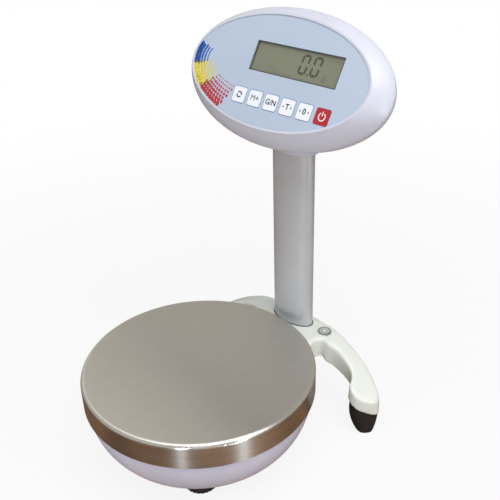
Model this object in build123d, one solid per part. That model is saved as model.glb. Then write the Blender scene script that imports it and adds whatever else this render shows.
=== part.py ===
from build123d import *
from math import cos, radians, sin
import os

# Column scale: a round stainless pan on a bowl-shaped base, a cast rear bracket with two
# arms, an oval column and an oval display head. Millimetres. +X is the user's right, +Y is
# away from the user, +Z is up. The origin is on the floor, at the middle of the footprint.

# ---- driving dimensions: pan and base ------------------------------------------------
PAN_Y = -24.85          # pan axis, in front of the middle of the footprint
PAN_TOP = 98.0          # height of the weighing surface
PAN_RADIUS = 115.0
PAN_DEPTH = 25.4        # skirt height
PAN_SHEET = 1.2
PAN_ROUND = 4.0         # outer radius of the drawn edge

SHOULDER_RADIUS = 112.2  # housing, just under the skirt
SHOULDER_Z = 70.0
RIM_RADIUS = 109.0       # spigot that goes up inside the skirt
RIM_TOP = 80.0
BELLY_Z = 64.0           # where the straight side turns into the bowl
BELLY_RADIUS = 111.6
FLOOR_RADIUS = 66.5      # flat underside of the bowl
FLOOR_Z = 8.0
WALL = 2.5
LID_THICKNESS = 2.5

POST = 43.0              # pillars, feet and stops stand at (+-POST, +-POST) from the axis
PILLAR_RADIUS = 6.5
PILLAR_SEAT = 11.8       # top of the moulded pads that the pillars stand on
FOOT_RADIUS = 16.5
PLATE_Z = 46.0           # underside of the chassis plate
PLATE_TOP = 51.5
TAIL_HALF_WIDTH = 30.0
TAIL_END = 152.0         # behind the pan axis

# ---- driving dimensions: weighing mechanism ------------------------------------------
CELL_LENGTH = 130.0
CELL_WIDTH = 30.0
CELL_Z = 55.5
CELL_TOP = 77.5
SPIDER_Z = 85.0
SPIDER_WEB = 3.0
SPIDER_TOP = 92.0
PAD_ARM = 66.0           # pads stand at (+-PAD_ARM, +-PAD_ARM) from the axis
PAD_RADIUS = 8.0

# ---- driving dimensions: bracket, column, head ---------------------------------------
BRACKET_TOP = 83.0
BRACKET_BOTTOM = 59.5
COLUMN_Y = 140.2         # behind the pan axis
COLUMN_A = 25.4          # oval half width
COLUMN_B = 12.9          # oval half depth
COLUMN_WALL = 2.2
COLUMN_FOOT = 71.0
COLUMN_HEAD = 316.0
PORT_X = 15.0            # screw ports in the extrusion
SOCKET_GAP = 0.3
LEVEL_X = 43.3
LEVEL_RADIUS = 7.0

HEAD_TILT = 31.0         # face leans back from the vertical
FACE_Y = 113.0           # behind the pan axis
FACE_Z = 362.9
FACE_A = 104.7           # overlay half axes
FACE_B = 51.4
PARTING = -16.0          # bezel meets the rear shell, behind the face
SHELL_WALL = 2.4
COLLAR_Z = 281.0
COLLAR_WALL = 2.8

LCD_U = 20.5             # window centre on the face
LCD_V = 11.1
LCD_WIDTH = 101.1
LCD_HEIGHT = 27.0
KEY_U = -30.8            # first key
KEY_V = -27.6
KEY_PITCH = 19.9
KEY_WIDTH = 15.4
KEY_HEIGHT = 14.4
KEY_GAP = 0.2
KEY_PROUD = 0.35

# ---- driving dimensions: fittings ------------------------------------------------------
NECK_STEP_Z = 68.5       # the casting's neck goes under the skirt up to here
NECK_X = 46.0
LEVEL_Y = COLUMN_Y + 1.4
LID_SCREW_ANGLES = (0, 60, 120, 180, 240, 300)
LID_SCREW_RADIUS = 103.8
BRACKET_SCREWS = [(-23, 122), (23, 122), (-24, 147.5), (24, 147.5)]
BOOT_HEEL = (120.0, 121.0)     # the boot tapers towards this point of the tip
BOOT_OUTLINE = [(89, 131), (96, 122), (101.5, 113), (108, 110.5), (116, 114), (122.5, 121),
                (125.8, 128.5), (118.5, 137), (106, 143.5), (92, 146.5)]
BAY_X = 52.0             # half size of the battery opening
BAY_Y = 30.0
CABLE_Z = 65.0
CABLE_TOP = 311.0
JACK_RADIUS = 4.5
JACK_ANGLE = 152.0
JACK_FACE = 110.8
JACK_Z = 58.0
JACK_OUT = (cos(radians(JACK_ANGLE)), sin(radians(JACK_ANGLE)), 0)
JACK_PLANE = Plane(
    origin=(JACK_FACE * JACK_OUT[0], JACK_FACE * JACK_OUT[1], JACK_Z),
    x_dir=(-JACK_OUT[1], JACK_OUT[0], 0),
    z_dir=JACK_OUT,
)
COLLAR_TOP = 323.0
NECK_SCREW_Z = (292.0, 307.0)
BOARD_FRONT = -8.4       # depths in the head are measured from the face
BOARD_BACK = BOARD_FRONT - 1.6
BOARD_WIDTH = 178.0
BOARD_HEIGHT = 78.0
KEY_BACK = -4.6
HEAD_POSTS = [(-88, 22), (88, 22), (-84, -26), (84, -26)]
BOARD_POSTS = [(-70, 30), (82, 6), (-62, -34), (58, 35)]
KEY_NAMES = ("unit", "memory", "gross_net", "tare", "zero", "power")

FACE = Plane(
    origin=(0, PAN_Y + FACE_Y, FACE_Z),
    x_dir=(1, 0, 0),
    z_dir=(0, -cos(radians(HEAD_TILT)), sin(radians(HEAD_TILT))),
)
CORNERS = [(x, y) for x in (-POST, POST) for y in (-POST, POST)]


# ---- small helpers -------------------------------------------------------------------
def on_axis(shape):
    """Move a shape built about the pan axis to its place in the frame."""
    return Pos(0, PAN_Y, 0) * shape


def rod(x, y, z_low, z_high, radius):
    """Upright cylinder between two heights."""
    return Pos(x, y, (z_low + z_high) / 2) * Cylinder(radius, z_high - z_low)


def block(x_low, x_high, y_low, y_high, z_low, z_high):
    """Box between two corners."""
    size = (x_high - x_low, y_high - y_low, z_high - z_low)
    centre = ((x_low + x_high) / 2, (y_low + y_high) / 2, (z_low + z_high) / 2)
    return Pos(*centre) * Box(*size)


def on_face(u, v, w_low, w_high, width, height, corner=0.0):
    """Block standing on the tilted face: u right, v up the face, w out of it."""
    outline = RectangleRounded(width, height, corner) if corner else Rectangle(width, height)
    return FACE.offset(w_low) * Pos(u, v, 0) * extrude(outline, w_high - w_low)


def face_rod(u, v, w_low, w_high, radius):
    """Cylinder square to the tilted face."""
    return FACE.offset(w_low) * Pos(u, v, 0) * extrude(Circle(radius), w_high - w_low)


def face_oval(w_low, w_high, a, b, v=0.0):
    """Elliptical disc parallel to the tilted face."""
    return FACE.offset(w_low) * Pos(0, v, 0) * extrude(Ellipse(a, b), w_high - w_low)


def face_loft(rings):
    """Smooth shell through ellipses (w, half width, half height, shift down the face)."""
    return loft([FACE.offset(w) * Pos(0, v, 0) * Ellipse(a, b) for w, a, b, v in rings])


def group(pieces):
    """One node that holds separate solids."""
    return Compound(children=[solid for piece in pieces for solid in piece.solids()])


def pan_screw(x, y, z_low, z_head, radius, head_radius, head_height, drive=3.0):
    """Screw pointing up, with its domed head at the bottom and a hex drive in it."""
    head = fillet(rod(x, y, z_low, z_head, head_radius).edges().sort_by(Axis.Z)[0], head_height * 0.4)
    recess = Pos(x, y, z_low) * extrude(RegularPolygon(drive / 2, 6), head_height * 0.5)
    return head - recess + rod(x, y, z_head, z_head + radius, radius)


# ---- pan and weighing mechanism ------------------------------------------------------
def weighing_pan():
    outer = rod(0, 0, PAN_TOP - PAN_DEPTH, PAN_TOP, PAN_RADIUS)
    outer = fillet(outer.edges().sort_by(Axis.Z)[-1], PAN_ROUND)
    inner = rod(0, 0, PAN_TOP - PAN_DEPTH - 1, PAN_TOP - PAN_SHEET, PAN_RADIUS - PAN_SHEET)
    inner = fillet(inner.edges().sort_by(Axis.Z)[-1], PAN_ROUND - PAN_SHEET)
    return on_axis(outer - inner)


def spider():
    """Cast platform: a long web over the load cell and four ribbed diagonal arms."""
    body = block(-CELL_WIDTH, CELL_WIDTH, -70, 70, SPIDER_Z, SPIDER_Z + SPIDER_WEB)
    arm = block(0, PAD_ARM * 2 ** 0.5, -8, 8, SPIDER_Z, SPIDER_Z + SPIDER_WEB)
    rib = block(0, PAD_ARM * 2 ** 0.5, -2, 2, SPIDER_Z, SPIDER_TOP - 1)
    for angle in (45, 135, 225, 315):
        body += Rot(0, 0, angle) * arm
        body += Rot(0, 0, angle) * rib
    for x in (-PAD_ARM, PAD_ARM):
        for y in (-PAD_ARM, PAD_ARM):
            body += rod(x, y, SPIDER_Z, SPIDER_TOP, PAD_RADIUS + 1.5)
    for y in (-57.5, -37.5):
        body -= rod(0, y, SPIDER_Z - 1, SPIDER_TOP, 3.3)
        body -= rod(0, y, SPIDER_Z + SPIDER_WEB, SPIDER_TOP, 6.5)
    return on_axis(body)


def pan_pads():
    pads = []
    for x in (-PAD_ARM, PAD_ARM):
        for y in (-PAD_ARM, PAD_ARM):
            pads.append(on_axis(rod(x, y, SPIDER_TOP, PAN_TOP - PAN_SHEET, PAD_RADIUS)))
    return group(pads)


def load_cell():
    """Single-point bar with the usual pair of joined holes through its side."""
    half = CELL_LENGTH / 2
    body = block(-CELL_WIDTH / 2, CELL_WIDTH / 2, -half, half, CELL_Z, CELL_TOP)
    mid = (CELL_Z + CELL_TOP) / 2
    across = Rot(0, 90, 0) * Cylinder(8.0, CELL_WIDTH + 2)
    for y in (-14, 14):
        body -= Pos(0, y, mid) * across
    body -= block(-CELL_WIDTH, CELL_WIDTH, -14, 14, mid - 3, mid + 3)
    for y in (37.5, 57.5):
        body -= rod(0, y, CELL_Z - 1, CELL_Z + 15, 3.0)
        body -= rod(0, -y, CELL_TOP - 15, CELL_TOP + 1, 3.0)
    return on_axis(body)


def cell_spacer(y_low, y_high, z_low, z_high):
    plate = block(-CELL_WIDTH / 2, CELL_WIDTH / 2, y_low, y_high, z_low, z_high)
    for y in (37.5, 57.5):
        side = y if y_low > 0 else -y
        plate -= rod(0, side, z_low - 1, z_high + 1, 3.3)
    return on_axis(plate)


def spider_screws():
    screws = []
    for y in (-57.5, -37.5):
        top = SPIDER_Z + SPIDER_WEB
        head = rod(0, y, top, top + 3.2, 5.0) - Pos(0, y, top + 1.2) * extrude(RegularPolygon(2, 6), 3)
        screws.append(on_axis(head + rod(0, y, CELL_TOP - 14, top, 2.95)))
    return group(screws)


def cell_base_screws():
    screws = []
    for y in (37.5, 57.5):
        head = rod(0, y, PLATE_Z - 4, PLATE_Z, 5.0)
        head -= Pos(0, y, PLATE_Z - 4) * extrude(RegularPolygon(2.5, 6), 2)
        screws.append(on_axis(head + rod(0, y, PLATE_Z, CELL_Z + 14, 2.95)))
    return group(screws)


def stop_studs():
    """Overload stops: adjustable studs under the four arms of the platform."""
    studs = []
    for x, y in CORNERS:
        stud = rod(x, y, PLATE_TOP, SPIDER_Z - 0.7, 3.0)
        stud += Pos(x, y, PLATE_TOP) * extrude(RegularPolygon(5.5, 6), 5)
        studs.append(on_axis(stud))
    return group(studs)


# ---- chassis, housing and feet -------------------------------------------------------
def chassis_plate():
    """Steel plate: two cross bars for the pillars and a long tail under the bracket."""
    body = block(-TAIL_HALF_WIDTH, TAIL_HALF_WIDTH, -POST - 10, TAIL_END, PLATE_Z, PLATE_TOP)
    for y in (-POST, POST):
        body += block(-POST - 9, POST + 9, y - 10, y + 10, PLATE_Z, PLATE_TOP)
    body = fillet(body.edges().filter_by(Axis.Z), 4.0)
    for y in (37.5, 57.5):
        body -= rod(0, y, PLATE_Z - 1, PLATE_TOP + 1, 3.3)
    for x, y in BRACKET_SCREWS:
        body -= rod(x, y, PLATE_Z - 1, PLATE_TOP + 1, 2.8)
    return on_axis(body)


def chassis_pillars():
    """Four turned pillars, threaded from below for the feet and the base screws."""
    pillars = []
    for x, y in CORNERS:
        bore = 4.0 if y < 0 else 2.0
        depth = 22.0 if y < 0 else 12.0
        pillar = rod(x, y, PILLAR_SEAT, PLATE_Z, PILLAR_RADIUS)
        pillar -= rod(x, y, FLOOR_Z, FLOOR_Z + WALL + depth, bore)
        pillars.append(on_axis(pillar))
    return group(pillars)


def base_screws():
    """Two screws that hold the bowl to the rear pillars, sunk in the underside."""
    screws = []
    for x in (-POST, POST):
        head = rod(x, POST, FLOOR_Z + 0.3, FLOOR_Z + WALL - 0.6, 3.6)
        head -= Pos(x, POST, FLOOR_Z + 0.3) * extrude(RegularPolygon(1.4, 6), 0.8)
        screws.append(on_axis(head + rod(x, POST, FLOOR_Z + WALL - 0.6, FLOOR_Z + WALL + 11, 1.95)))
    return group(screws)


def bowl_face(inset):
    """Half section of the bowl: flat floor, round belly, straight shoulder."""
    foot = (FLOOR_RADIUS - 0.6 * inset, FLOOR_Z + inset)
    belly = (BELLY_RADIUS - inset, BELLY_Z)
    top = SHOULDER_Z - inset
    shoulder = (SHOULDER_RADIUS - inset, top)
    side = TangentArc(belly, foot, tangent=(-0.12, -1))
    outline = [Line((0, foot[1]), foot), side, Line(belly, shoulder)]
    outline += [Line(shoulder, (0, top)), Line((0, top), (0, foot[1]))]
    return Plane.XZ * make_face(outline)


def base_housing():
    """Moulded bowl with a rim that goes up inside the pan, bosses, battery bay and slots."""
    outer = revolve(bowl_face(0.0), Axis.Z)
    outer += rod(0, 0, SHOULDER_Z - 0.1, RIM_TOP, RIM_RADIUS)
    inner = revolve(bowl_face(WALL), Axis.Z)
    inner += rod(0, 0, SHOULDER_Z - WALL - 1, RIM_TOP + 1, RIM_RADIUS - WALL)
    shell = outer - inner
    for angle in LID_SCREW_ANGLES:
        shell += Rot(0, 0, angle) * Pos(LID_SCREW_RADIUS, 0, 0) * rod(0, 0, RIM_TOP - 22, RIM_TOP, 4.0)
        shell -= Rot(0, 0, angle) * Pos(LID_SCREW_RADIUS, 0, 0) * rod(0, 0, RIM_TOP - 14, RIM_TOP + 1, 1.5)
    for x, y in CORNERS:
        hole = 4.3 if y < 0 else 2.3
        shell += rod(x, y, FLOOR_Z + WALL - 0.5, PILLAR_SEAT, PILLAR_RADIUS + 0.5)
        shell -= rod(x, y, FLOOR_Z - 1, PILLAR_SEAT + 1, hole)
        if y > 0:
            shell -= rod(x, y, FLOOR_Z - 1, FLOOR_Z + WALL - 0.6, 4.0)
    shell -= block(-BAY_X, BAY_X, -BAY_Y, BAY_Y, FLOOR_Z - 1, FLOOR_Z + WALL + 1)
    shell -= block(-TAIL_HALF_WIDTH - 1, TAIL_HALF_WIDTH + 1, 90, 130, PLATE_Z - 0.7, PLATE_TOP + 0.7)
    shell -= Pos(0, 105, CABLE_Z) * Rot(90, 0, 0) * Cylinder(5.0, 30)
    jack_hole = JACK_PLANE * extrude(Circle(JACK_RADIUS + 0.2), 40, both=True)
    return on_axis(shell - jack_hole)


def housing_lid():
    """Flat cover over the bowl, with openings for the cell post and the stops."""
    lid = rod(0, 0, RIM_TOP, RIM_TOP + LID_THICKNESS, RIM_RADIUS)
    lid = fillet(lid.edges().sort_by(Axis.Z)[-1], 1.0)
    lid -= block(-CELL_WIDTH / 2 - 2, CELL_WIDTH / 2 + 2, -68, -27, RIM_TOP - 1, SPIDER_Z)
    for x, y in CORNERS:
        lid -= rod(x, y, RIM_TOP - 1, SPIDER_Z, 6.0)
    for angle in LID_SCREW_ANGLES:
        lid -= Rot(0, 0, angle) * Pos(LID_SCREW_RADIUS, 0, 0) * rod(0, 0, RIM_TOP - 1, SPIDER_Z, 1.8)
    return on_axis(lid)


def lid_screws():
    screws = []
    for angle in LID_SCREW_ANGLES:
        top = RIM_TOP + LID_THICKNESS
        screw = rod(0, 0, top, top + 1.6, 3.0) + rod(0, 0, top - 12, top, 1.45)
        screw -= block(-2, 2, -0.4, 0.4, top + 0.8, top + 2)
        screws.append(on_axis(Rot(0, 0, angle) * Pos(LID_SCREW_RADIUS, 0, 0) * screw))
    return group(screws)


def levelling_foot(side):
    """Knurled wheel and threaded stud, and the rubber disc let into its underside."""
    wheel = rod(0, 0, 1.5, FLOOR_Z - 0.3, FOOT_RADIUS)
    wheel = chamfer(wheel.edges().group_by(Axis.Z)[-1], 0.8)
    for turn in range(24):
        wheel -= Rot(0, 0, turn * 15) * Pos(FOOT_RADIUS + 0.6, 0, 4) * Cylinder(1.1, 9)
    wheel += rod(0, 0, FLOOR_Z - 0.4, FLOOR_Z + 20, 3.95)
    pad = fillet(rod(0, 0, 0, 3.0, FOOT_RADIUS - 2).edges().sort_by(Axis.Z)[0], 0.8)
    place = Pos(side * POST, -POST, 0)
    return on_axis(place * (wheel - rod(0, 0, 0, 3.0, FOOT_RADIUS - 2))), on_axis(place * pad)


def battery():
    body = block(-48.5, 48.5, -26, 26, FLOOR_Z + WALL + 1, FLOOR_Z + WALL + 25)
    body = fillet(body.edges().filter_by(Axis.Z), 2.0)
    for y in (-15, 15):
        body += block(40, 46, y - 2.4, y + 2.4, FLOOR_Z + WALL + 25, FLOOR_Z + WALL + 29)
    return on_axis(body)


def battery_door():
    """Screwed cover under the battery bay, with a rebated edge and grip ribs."""
    door = block(-BAY_X + 0.3, BAY_X - 0.3, -BAY_Y + 0.3, BAY_Y - 0.3, FLOOR_Z, FLOOR_Z + WALL)
    door = fillet(door.edges().filter_by(Axis.Z), 2.0)
    door += block(-BAY_X + 1, BAY_X - 1, -BAY_Y + 1, BAY_Y - 1, FLOOR_Z + WALL, FLOOR_Z + WALL + 0.8)
    for step in range(5):
        x = -BAY_X + 6 + 3 * step
        door -= block(x, x + 1.2, -12, 12, FLOOR_Z - 1, FLOOR_Z + 0.6)
    door -= rod(BAY_X - 6, 0, FLOOR_Z - 1, FLOOR_Z + 1.2, 3.2)
    return on_axis(door)


def dc_jack():
    """Round power inlet in the left rear of the bowl: a bored barrel on a block."""
    barrel = extrude(Circle(JACK_RADIUS), -12) - extrude(Circle(2.75), -9.5)
    body = barrel + Pos(0, 0, -18) * Box(11, 14, 12)
    return on_axis(JACK_PLANE * body)


def jack_pin():
    return on_axis(JACK_PLANE * Pos(0, 0, -9.5) * extrude(Circle(1.0), 8.5))


# ---- rear bracket and its feet -------------------------------------------------------
def arm_outline():
    """Plan of the right half: outer sweep, hooked tip, inner sweep, neck."""
    outer = Spline((0, 157.5), (26, 156.2), (55, 153.6), (85, 150.6), (107, 144.8), (119, 138),
                   (126.8, 128), tangents=[(1, 0), (0.1, -1)])
    tip = Spline((126.8, 128), (123.2, 120.2), (116, 112.8), (107.5, 109.4), (100.9, 111.6), (97.4, 118),
                 tangents=[(0.1, -1), (-0.3, 1)])
    inner = Spline((97.4, 118), (91.7, 126.2), (83.8, 129.8), (74, 131.1), (64, 130.8), (54.6, 128.6),
                   (NECK_X, 120), tangents=[(-0.3, 1), (-0.1, -1)])
    closing = [Line((NECK_X, 120), (NECK_X, 100)), Line((NECK_X, 100), (0, 100)), Line((0, 100), (0, 157.5))]
    return make_face([outer, tip, inner] + closing)


def arm_skyline(low_z):
    """Side view of the right arm down to low_z: flat over the column, then falling to the tip."""
    top = Spline((42, BRACKET_TOP), (66, 77.2), (88, 66.2), (108, 53), (130, 41), tangents=[(1, 0), (1, -0.5)])
    outline = [top, Line((130, 41), (130, low_z)), Line((130, low_z), (-1, low_z))]
    outline += [Line((-1, low_z), (-1, BRACKET_TOP)), Line((-1, BRACKET_TOP), (42, BRACKET_TOP))]
    return Plane.XZ * make_face(outline)


def arm_underside():
    """Side view of the space under the right arm, which the boot fills at the tip."""
    low = Spline((130, 23.5), (112, 34), (100, 41), (78, 48.2), (46, BRACKET_BOTTOM),
                 tangents=[(-1, 0.5), (-1, 0.25)])
    outline = [low, Line((46, BRACKET_BOTTOM), (-1, BRACKET_BOTTOM)), Line((-1, BRACKET_BOTTOM), (-1, -1))]
    outline += [Line((-1, -1), (130, -1)), Line((130, -1), (130, 23.5))]
    return Plane.XZ * make_face(outline)


def rear_bracket():
    """Casting: crescent with two arms, neck, foot block for the tail, socket and level pocket."""
    half = extrude(arm_outline(), 90) & extrude(arm_skyline(0), -200)
    half -= extrude(arm_underside(), -200)
    body = half + mirror(half, Plane.YZ)
    body -= rod(0, 0, NECK_STEP_Z, 100, PAN_RADIUS + 3)
    body += block(-TAIL_HALF_WIDTH, TAIL_HALF_WIDTH, 100, TAIL_END, PLATE_TOP, BRACKET_BOTTOM + 0.5)
    body -= rod(0, 0, 0, NECK_STEP_Z, SHOULDER_RADIUS + 0.8)
    socket = extrude(Ellipse(COLUMN_A + SOCKET_GAP, COLUMN_B + SOCKET_GAP), 30)
    body -= Pos(0, COLUMN_Y, COLUMN_FOOT) * socket
    body -= rod(LEVEL_X, LEVEL_Y, BRACKET_TOP - 7, BRACKET_TOP + 1, LEVEL_RADIUS + 0.15)
    body -= Pos(0, (SHOULDER_RADIUS + COLUMN_Y) / 2, CABLE_Z) * Rot(90, 0, 0) * Cylinder(4.5, 28)
    body -= rod(0, COLUMN_Y, CABLE_Z, COLUMN_FOOT + 1, 4.5)
    for x in (-PORT_X, PORT_X):
        body -= rod(x, COLUMN_Y, PLATE_TOP - 1, COLUMN_FOOT + 1, 2.3)
        body -= rod(x, COLUMN_Y, PLATE_TOP - 1, PLATE_TOP + 6, 4.6)
    for x, y in BRACKET_SCREWS:
        body -= rod(x, y, PLATE_TOP - 1, PLATE_TOP + 12, 2.4)
    return on_axis(body)


def boot(side):
    """Rubber boot under the tip of an arm: as wide as the tip above, tapered to the floor."""
    rings = []
    for z, scale in ((0.0, 0.45), (2.0, 0.56), (9.0, 0.78), (19.0, 0.95), (28.0, 1.0), (50.0, 1.0)):
        points = [(BOOT_HEEL[0] + (x - BOOT_HEEL[0]) * scale, BOOT_HEEL[1] + (y - BOOT_HEEL[1]) * scale)
                  for x, y in BOOT_OUTLINE]
        rings.append(Pos(0, 0, z) * make_face(Spline(*points, periodic=True)))
    body = loft(rings) & extrude(arm_underside(), -200)
    body = on_axis(body)
    return body if side > 0 else mirror(body, Plane.YZ)


def level_cup():
    cup = rod(LEVEL_X, LEVEL_Y, BRACKET_TOP - 7, BRACKET_TOP + 0.4, LEVEL_RADIUS)
    return on_axis(cup - rod(LEVEL_X, LEVEL_Y, BRACKET_TOP - 5, BRACKET_TOP + 1, LEVEL_RADIUS - 1.6))


def level_lens():
    return on_axis(rod(LEVEL_X, LEVEL_Y, BRACKET_TOP - 5, BRACKET_TOP + 0.1, LEVEL_RADIUS - 1.65))


def bracket_screws():
    """Four screws up through the tail of the chassis plate into the casting."""
    return group([on_axis(pan_screw(x, y, PLATE_Z - 2.6, PLATE_Z, 2.35, 4.4, 2.6))
                  + on_axis(rod(x, y, PLATE_Z, PLATE_TOP + 11, 2.35)) for x, y in BRACKET_SCREWS])


# ---- column ---------------------------------------------------------------------------
def column():
    """Oval extrusion with a screw port at each side of its cable channel."""
    height = COLUMN_HEAD - COLUMN_FOOT
    hollow = Ellipse(COLUMN_A - COLUMN_WALL, COLUMN_B - COLUMN_WALL)
    section = Ellipse(COLUMN_A, COLUMN_B) - hollow
    for x in (-PORT_X, PORT_X):
        web = Pos(x, 0, 0) * Rectangle(2.0, 2 * COLUMN_B) & hollow
        section += web
        section += Pos(x, 0, 0) * Circle(4.0)
    for x in (-PORT_X, PORT_X):
        section -= Pos(x, 0, 0) * Circle(2.0)
    return on_axis(Pos(0, COLUMN_Y, COLUMN_FOOT) * extrude(section, height))


def column_screws():
    """Two long screws up through the casting into the ports of the column."""
    screws = []
    for x in (-PORT_X, PORT_X):
        head = rod(x, COLUMN_Y, PLATE_TOP + 2.6, PLATE_TOP + 6, 4.2)
        head -= Pos(x, COLUMN_Y, PLATE_TOP + 2.6) * extrude(RegularPolygon(2, 6), 1.6)
        screws.append(on_axis(head + rod(x, COLUMN_Y, PLATE_TOP + 6, COLUMN_FOOT + 18, 1.95)))
    return group(screws)


def signal_cable():
    """Lead from the load cell through the casting and up the column to the board."""
    start = (0, CELL_LENGTH / 2, CABLE_Z)
    path = FilletPolyline(start, (0, COLUMN_Y, CABLE_Z), (0, COLUMN_Y, CABLE_TOP), radius=8.0)
    first = Plane(origin=start, z_dir=(0, 1, 0))
    return on_axis(sweep(first * Circle(2.2), path=path))


# ---- display head: shells --------------------------------------------------------------
def bezel_rings(inset):
    """Front shell: a narrow lip, a broad bevel and the turn to the side wall."""
    rings = [(0.7, 106.8, 53.6, 0), (-3.0, 111.0, 57.4, 0), (-7.5, 115.2, 61.4, 0)]
    rings += [(-12.0, 118.4, 63.8, -0.4), (PARTING, 120.4, 64.3, -1.3)]
    return [(w, a - inset, b - inset, v) for w, a, b, v in rings]


def front_bezel():
    """Front shell with the recess for the panel, window, key holes and four posts."""
    body = face_loft(bezel_rings(0.0))
    body -= face_loft(bezel_rings(SHELL_WALL)) - face_oval(-3.0, 4, 120, 70)
    body -= face_oval(-0.5, 2, FACE_A + 0.2, FACE_B + 0.2)
    body -= on_face(LCD_U, LCD_V, -4, 1, LCD_WIDTH + 2.4, LCD_HEIGHT + 2.4)
    for index in range(len(KEY_NAMES)):
        u = KEY_U + index * KEY_PITCH
        body -= on_face(u, KEY_V, -4, 1, KEY_WIDTH + 2 * KEY_GAP, KEY_HEIGHT + 2 * KEY_GAP, 2.0)
    for u, v in HEAD_POSTS:
        body += face_rod(u, v, PARTING, -2.8, 3.6)
        body -= face_rod(u, v, PARTING - 1, -6, 1.45)
    for u, v in BOARD_POSTS:
        body += face_rod(u, v, BOARD_FRONT, -2.8, 3.0)
        body -= face_rod(u, v, BOARD_FRONT - 1, -5, 1.2)
    return body


def shell_rings(inset):
    """Rear shell: from the parting line over the crown to a flatter back."""
    rings = [(PARTING, 120.4, 64.3, -1.3), (-21.0, 119.6, 62.8, -2.6), (-29.0, 111.0, 55.0, -3.2)]
    rings += [(-36.0, 94.0, 43.0, -3.6), (-41.0, 70.0, 29.0, -3.6)]
    return [(w + (0.0 if index == 0 else inset), a - inset, b - inset, v)
            for index, (w, a, b, v) in enumerate(rings)]


def collar_section(extra):
    return Ellipse(COLUMN_A + extra, COLUMN_B + extra)


def rear_shell():
    """Rear shell with the oval collar that takes the top of the column."""
    outer = face_loft(shell_rings(0.0))
    collar = Pos(0, PAN_Y + COLUMN_Y, COLLAR_Z) * extrude(collar_section(COLLAR_WALL), COLLAR_TOP - COLLAR_Z)
    collar = fillet(collar.edges().sort_by(Axis.Z)[-1], 4.0)
    collar = fillet(collar.edges().sort_by(Axis.Z)[0], 0.8)
    collar -= face_oval(PARTING - 4, 120, 200, 150)
    inner = face_loft(shell_rings(SHELL_WALL))
    body = outer + collar - inner
    body -= Pos(0, PAN_Y + COLUMN_Y, COLLAR_Z - 1) * extrude(collar_section(0.15), COLUMN_HEAD - COLLAR_Z + 1.5)
    body -= Pos(0, PAN_Y + COLUMN_Y - 6, COLUMN_HEAD - 24) * extrude(collar_section(-4.0), 26)
    for u, v in HEAD_POSTS:
        post = face_rod(u, v, -60, PARTING, 4.4) & face_loft(shell_rings(0.4))
        body += post
        body -= face_rod(u, v, -60, PARTING + 1, 1.8)
        body -= face_rod(u, v, -60, PARTING - 4, 3.4)
    for z in NECK_SCREW_Z:
        body -= Pos(0, PAN_Y + COLUMN_Y + 10, z) * Rot(90, 0, 0) * Cylinder(2.2, 20)
    return body


def head_screws():
    screws = []
    for u, v in HEAD_POSTS:
        screw = face_rod(u, v, PARTING - 6.4, PARTING - 4, 3.1) + face_rod(u, v, PARTING - 4, -7, 1.4)
        screws.append(screw - face_rod(u, v, PARTING - 7, PARTING - 5.2, 1.2))
    return group(screws)


def neck_screws():
    """Two grub screws through the back of the collar that clamp the column."""
    screws = []
    for z in NECK_SCREW_Z:
        screw = Rot(90, 0, 0) * (Cylinder(2.05, 2.6) - Pos(0, 0, -1) * extrude(RegularPolygon(1.2, 6), -2))
        screws.append(Pos(0, PAN_Y + COLUMN_Y + COLUMN_B + 1.5, z) * screw)
    return group(screws)


# ---- display head: panel and electronics -----------------------------------------------
def face_panel():
    """Thin printed overlay with the display window and the key openings cut out."""
    panel = face_oval(-0.5, 0, FACE_A, FACE_B)
    panel -= on_face(LCD_U, LCD_V, -1, 1, LCD_WIDTH, LCD_HEIGHT)
    for index in range(len(KEY_NAMES)):
        u = KEY_U + index * KEY_PITCH
        panel -= on_face(u, KEY_V, -1, 1, KEY_WIDTH + 2 * KEY_GAP, KEY_HEIGHT + 2 * KEY_GAP, 2.0)
    return panel


def lcd_frame():
    """Dark tray around the display glass, standing on the board."""
    frame = on_face(LCD_U, LCD_V, BOARD_FRONT, -3.0, LCD_WIDTH + 9, LCD_HEIGHT + 9)
    frame += on_face(LCD_U, LCD_V, -3.1, -0.5, LCD_WIDTH + 2.2, LCD_HEIGHT + 2.2)
    frame -= on_face(LCD_U, LCD_V, BOARD_FRONT + 1.5, 1, LCD_WIDTH, LCD_HEIGHT)
    return frame


def lcd_glass():
    return on_face(LCD_U, LCD_V, BOARD_FRONT + 1.5, -1.9, LCD_WIDTH, LCD_HEIGHT)


def key_pad(index):
    """Moulded pad: rounded cap, and the block that reaches the switch."""
    u = KEY_U + index * KEY_PITCH
    pad = on_face(u, KEY_V, KEY_BACK, KEY_PROUD, KEY_WIDTH, KEY_HEIGHT, 1.8)
    return pad


def key_switches():
    switches = []
    for index in range(len(KEY_NAMES)):
        u = KEY_U + index * KEY_PITCH
        body = on_face(u, KEY_V, BOARD_FRONT, KEY_BACK - 1.2, 6, 6)
        switches.append(body + face_rod(u, KEY_V, KEY_BACK - 1.3, KEY_BACK - 0.6, 1.7))
    return group(switches)


def main_board():
    outline = RectangleRounded(BOARD_WIDTH, BOARD_HEIGHT, 10)
    board = FACE.offset(BOARD_BACK) * extrude(outline, BOARD_FRONT - BOARD_BACK)
    for u, v in BOARD_POSTS:
        board -= face_rod(u, v, BOARD_FRONT - 3, BOARD_FRONT + 1, 1.5)
    for u, v in HEAD_POSTS:
        board -= face_rod(u, v, BOARD_FRONT - 3, BOARD_FRONT + 1, 5.6)
    return board


def board_screws():
    screws = []
    for u, v in BOARD_POSTS:
        screw = face_rod(u, v, BOARD_BACK - 1.6, BOARD_BACK, 2.6)
        screw += face_rod(u, v, BOARD_BACK, -5.4, 1.15)
        screws.append(screw - face_rod(u, v, BOARD_BACK - 1.7, BOARD_BACK - 0.9, 0.9))
    return group(screws)


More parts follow.
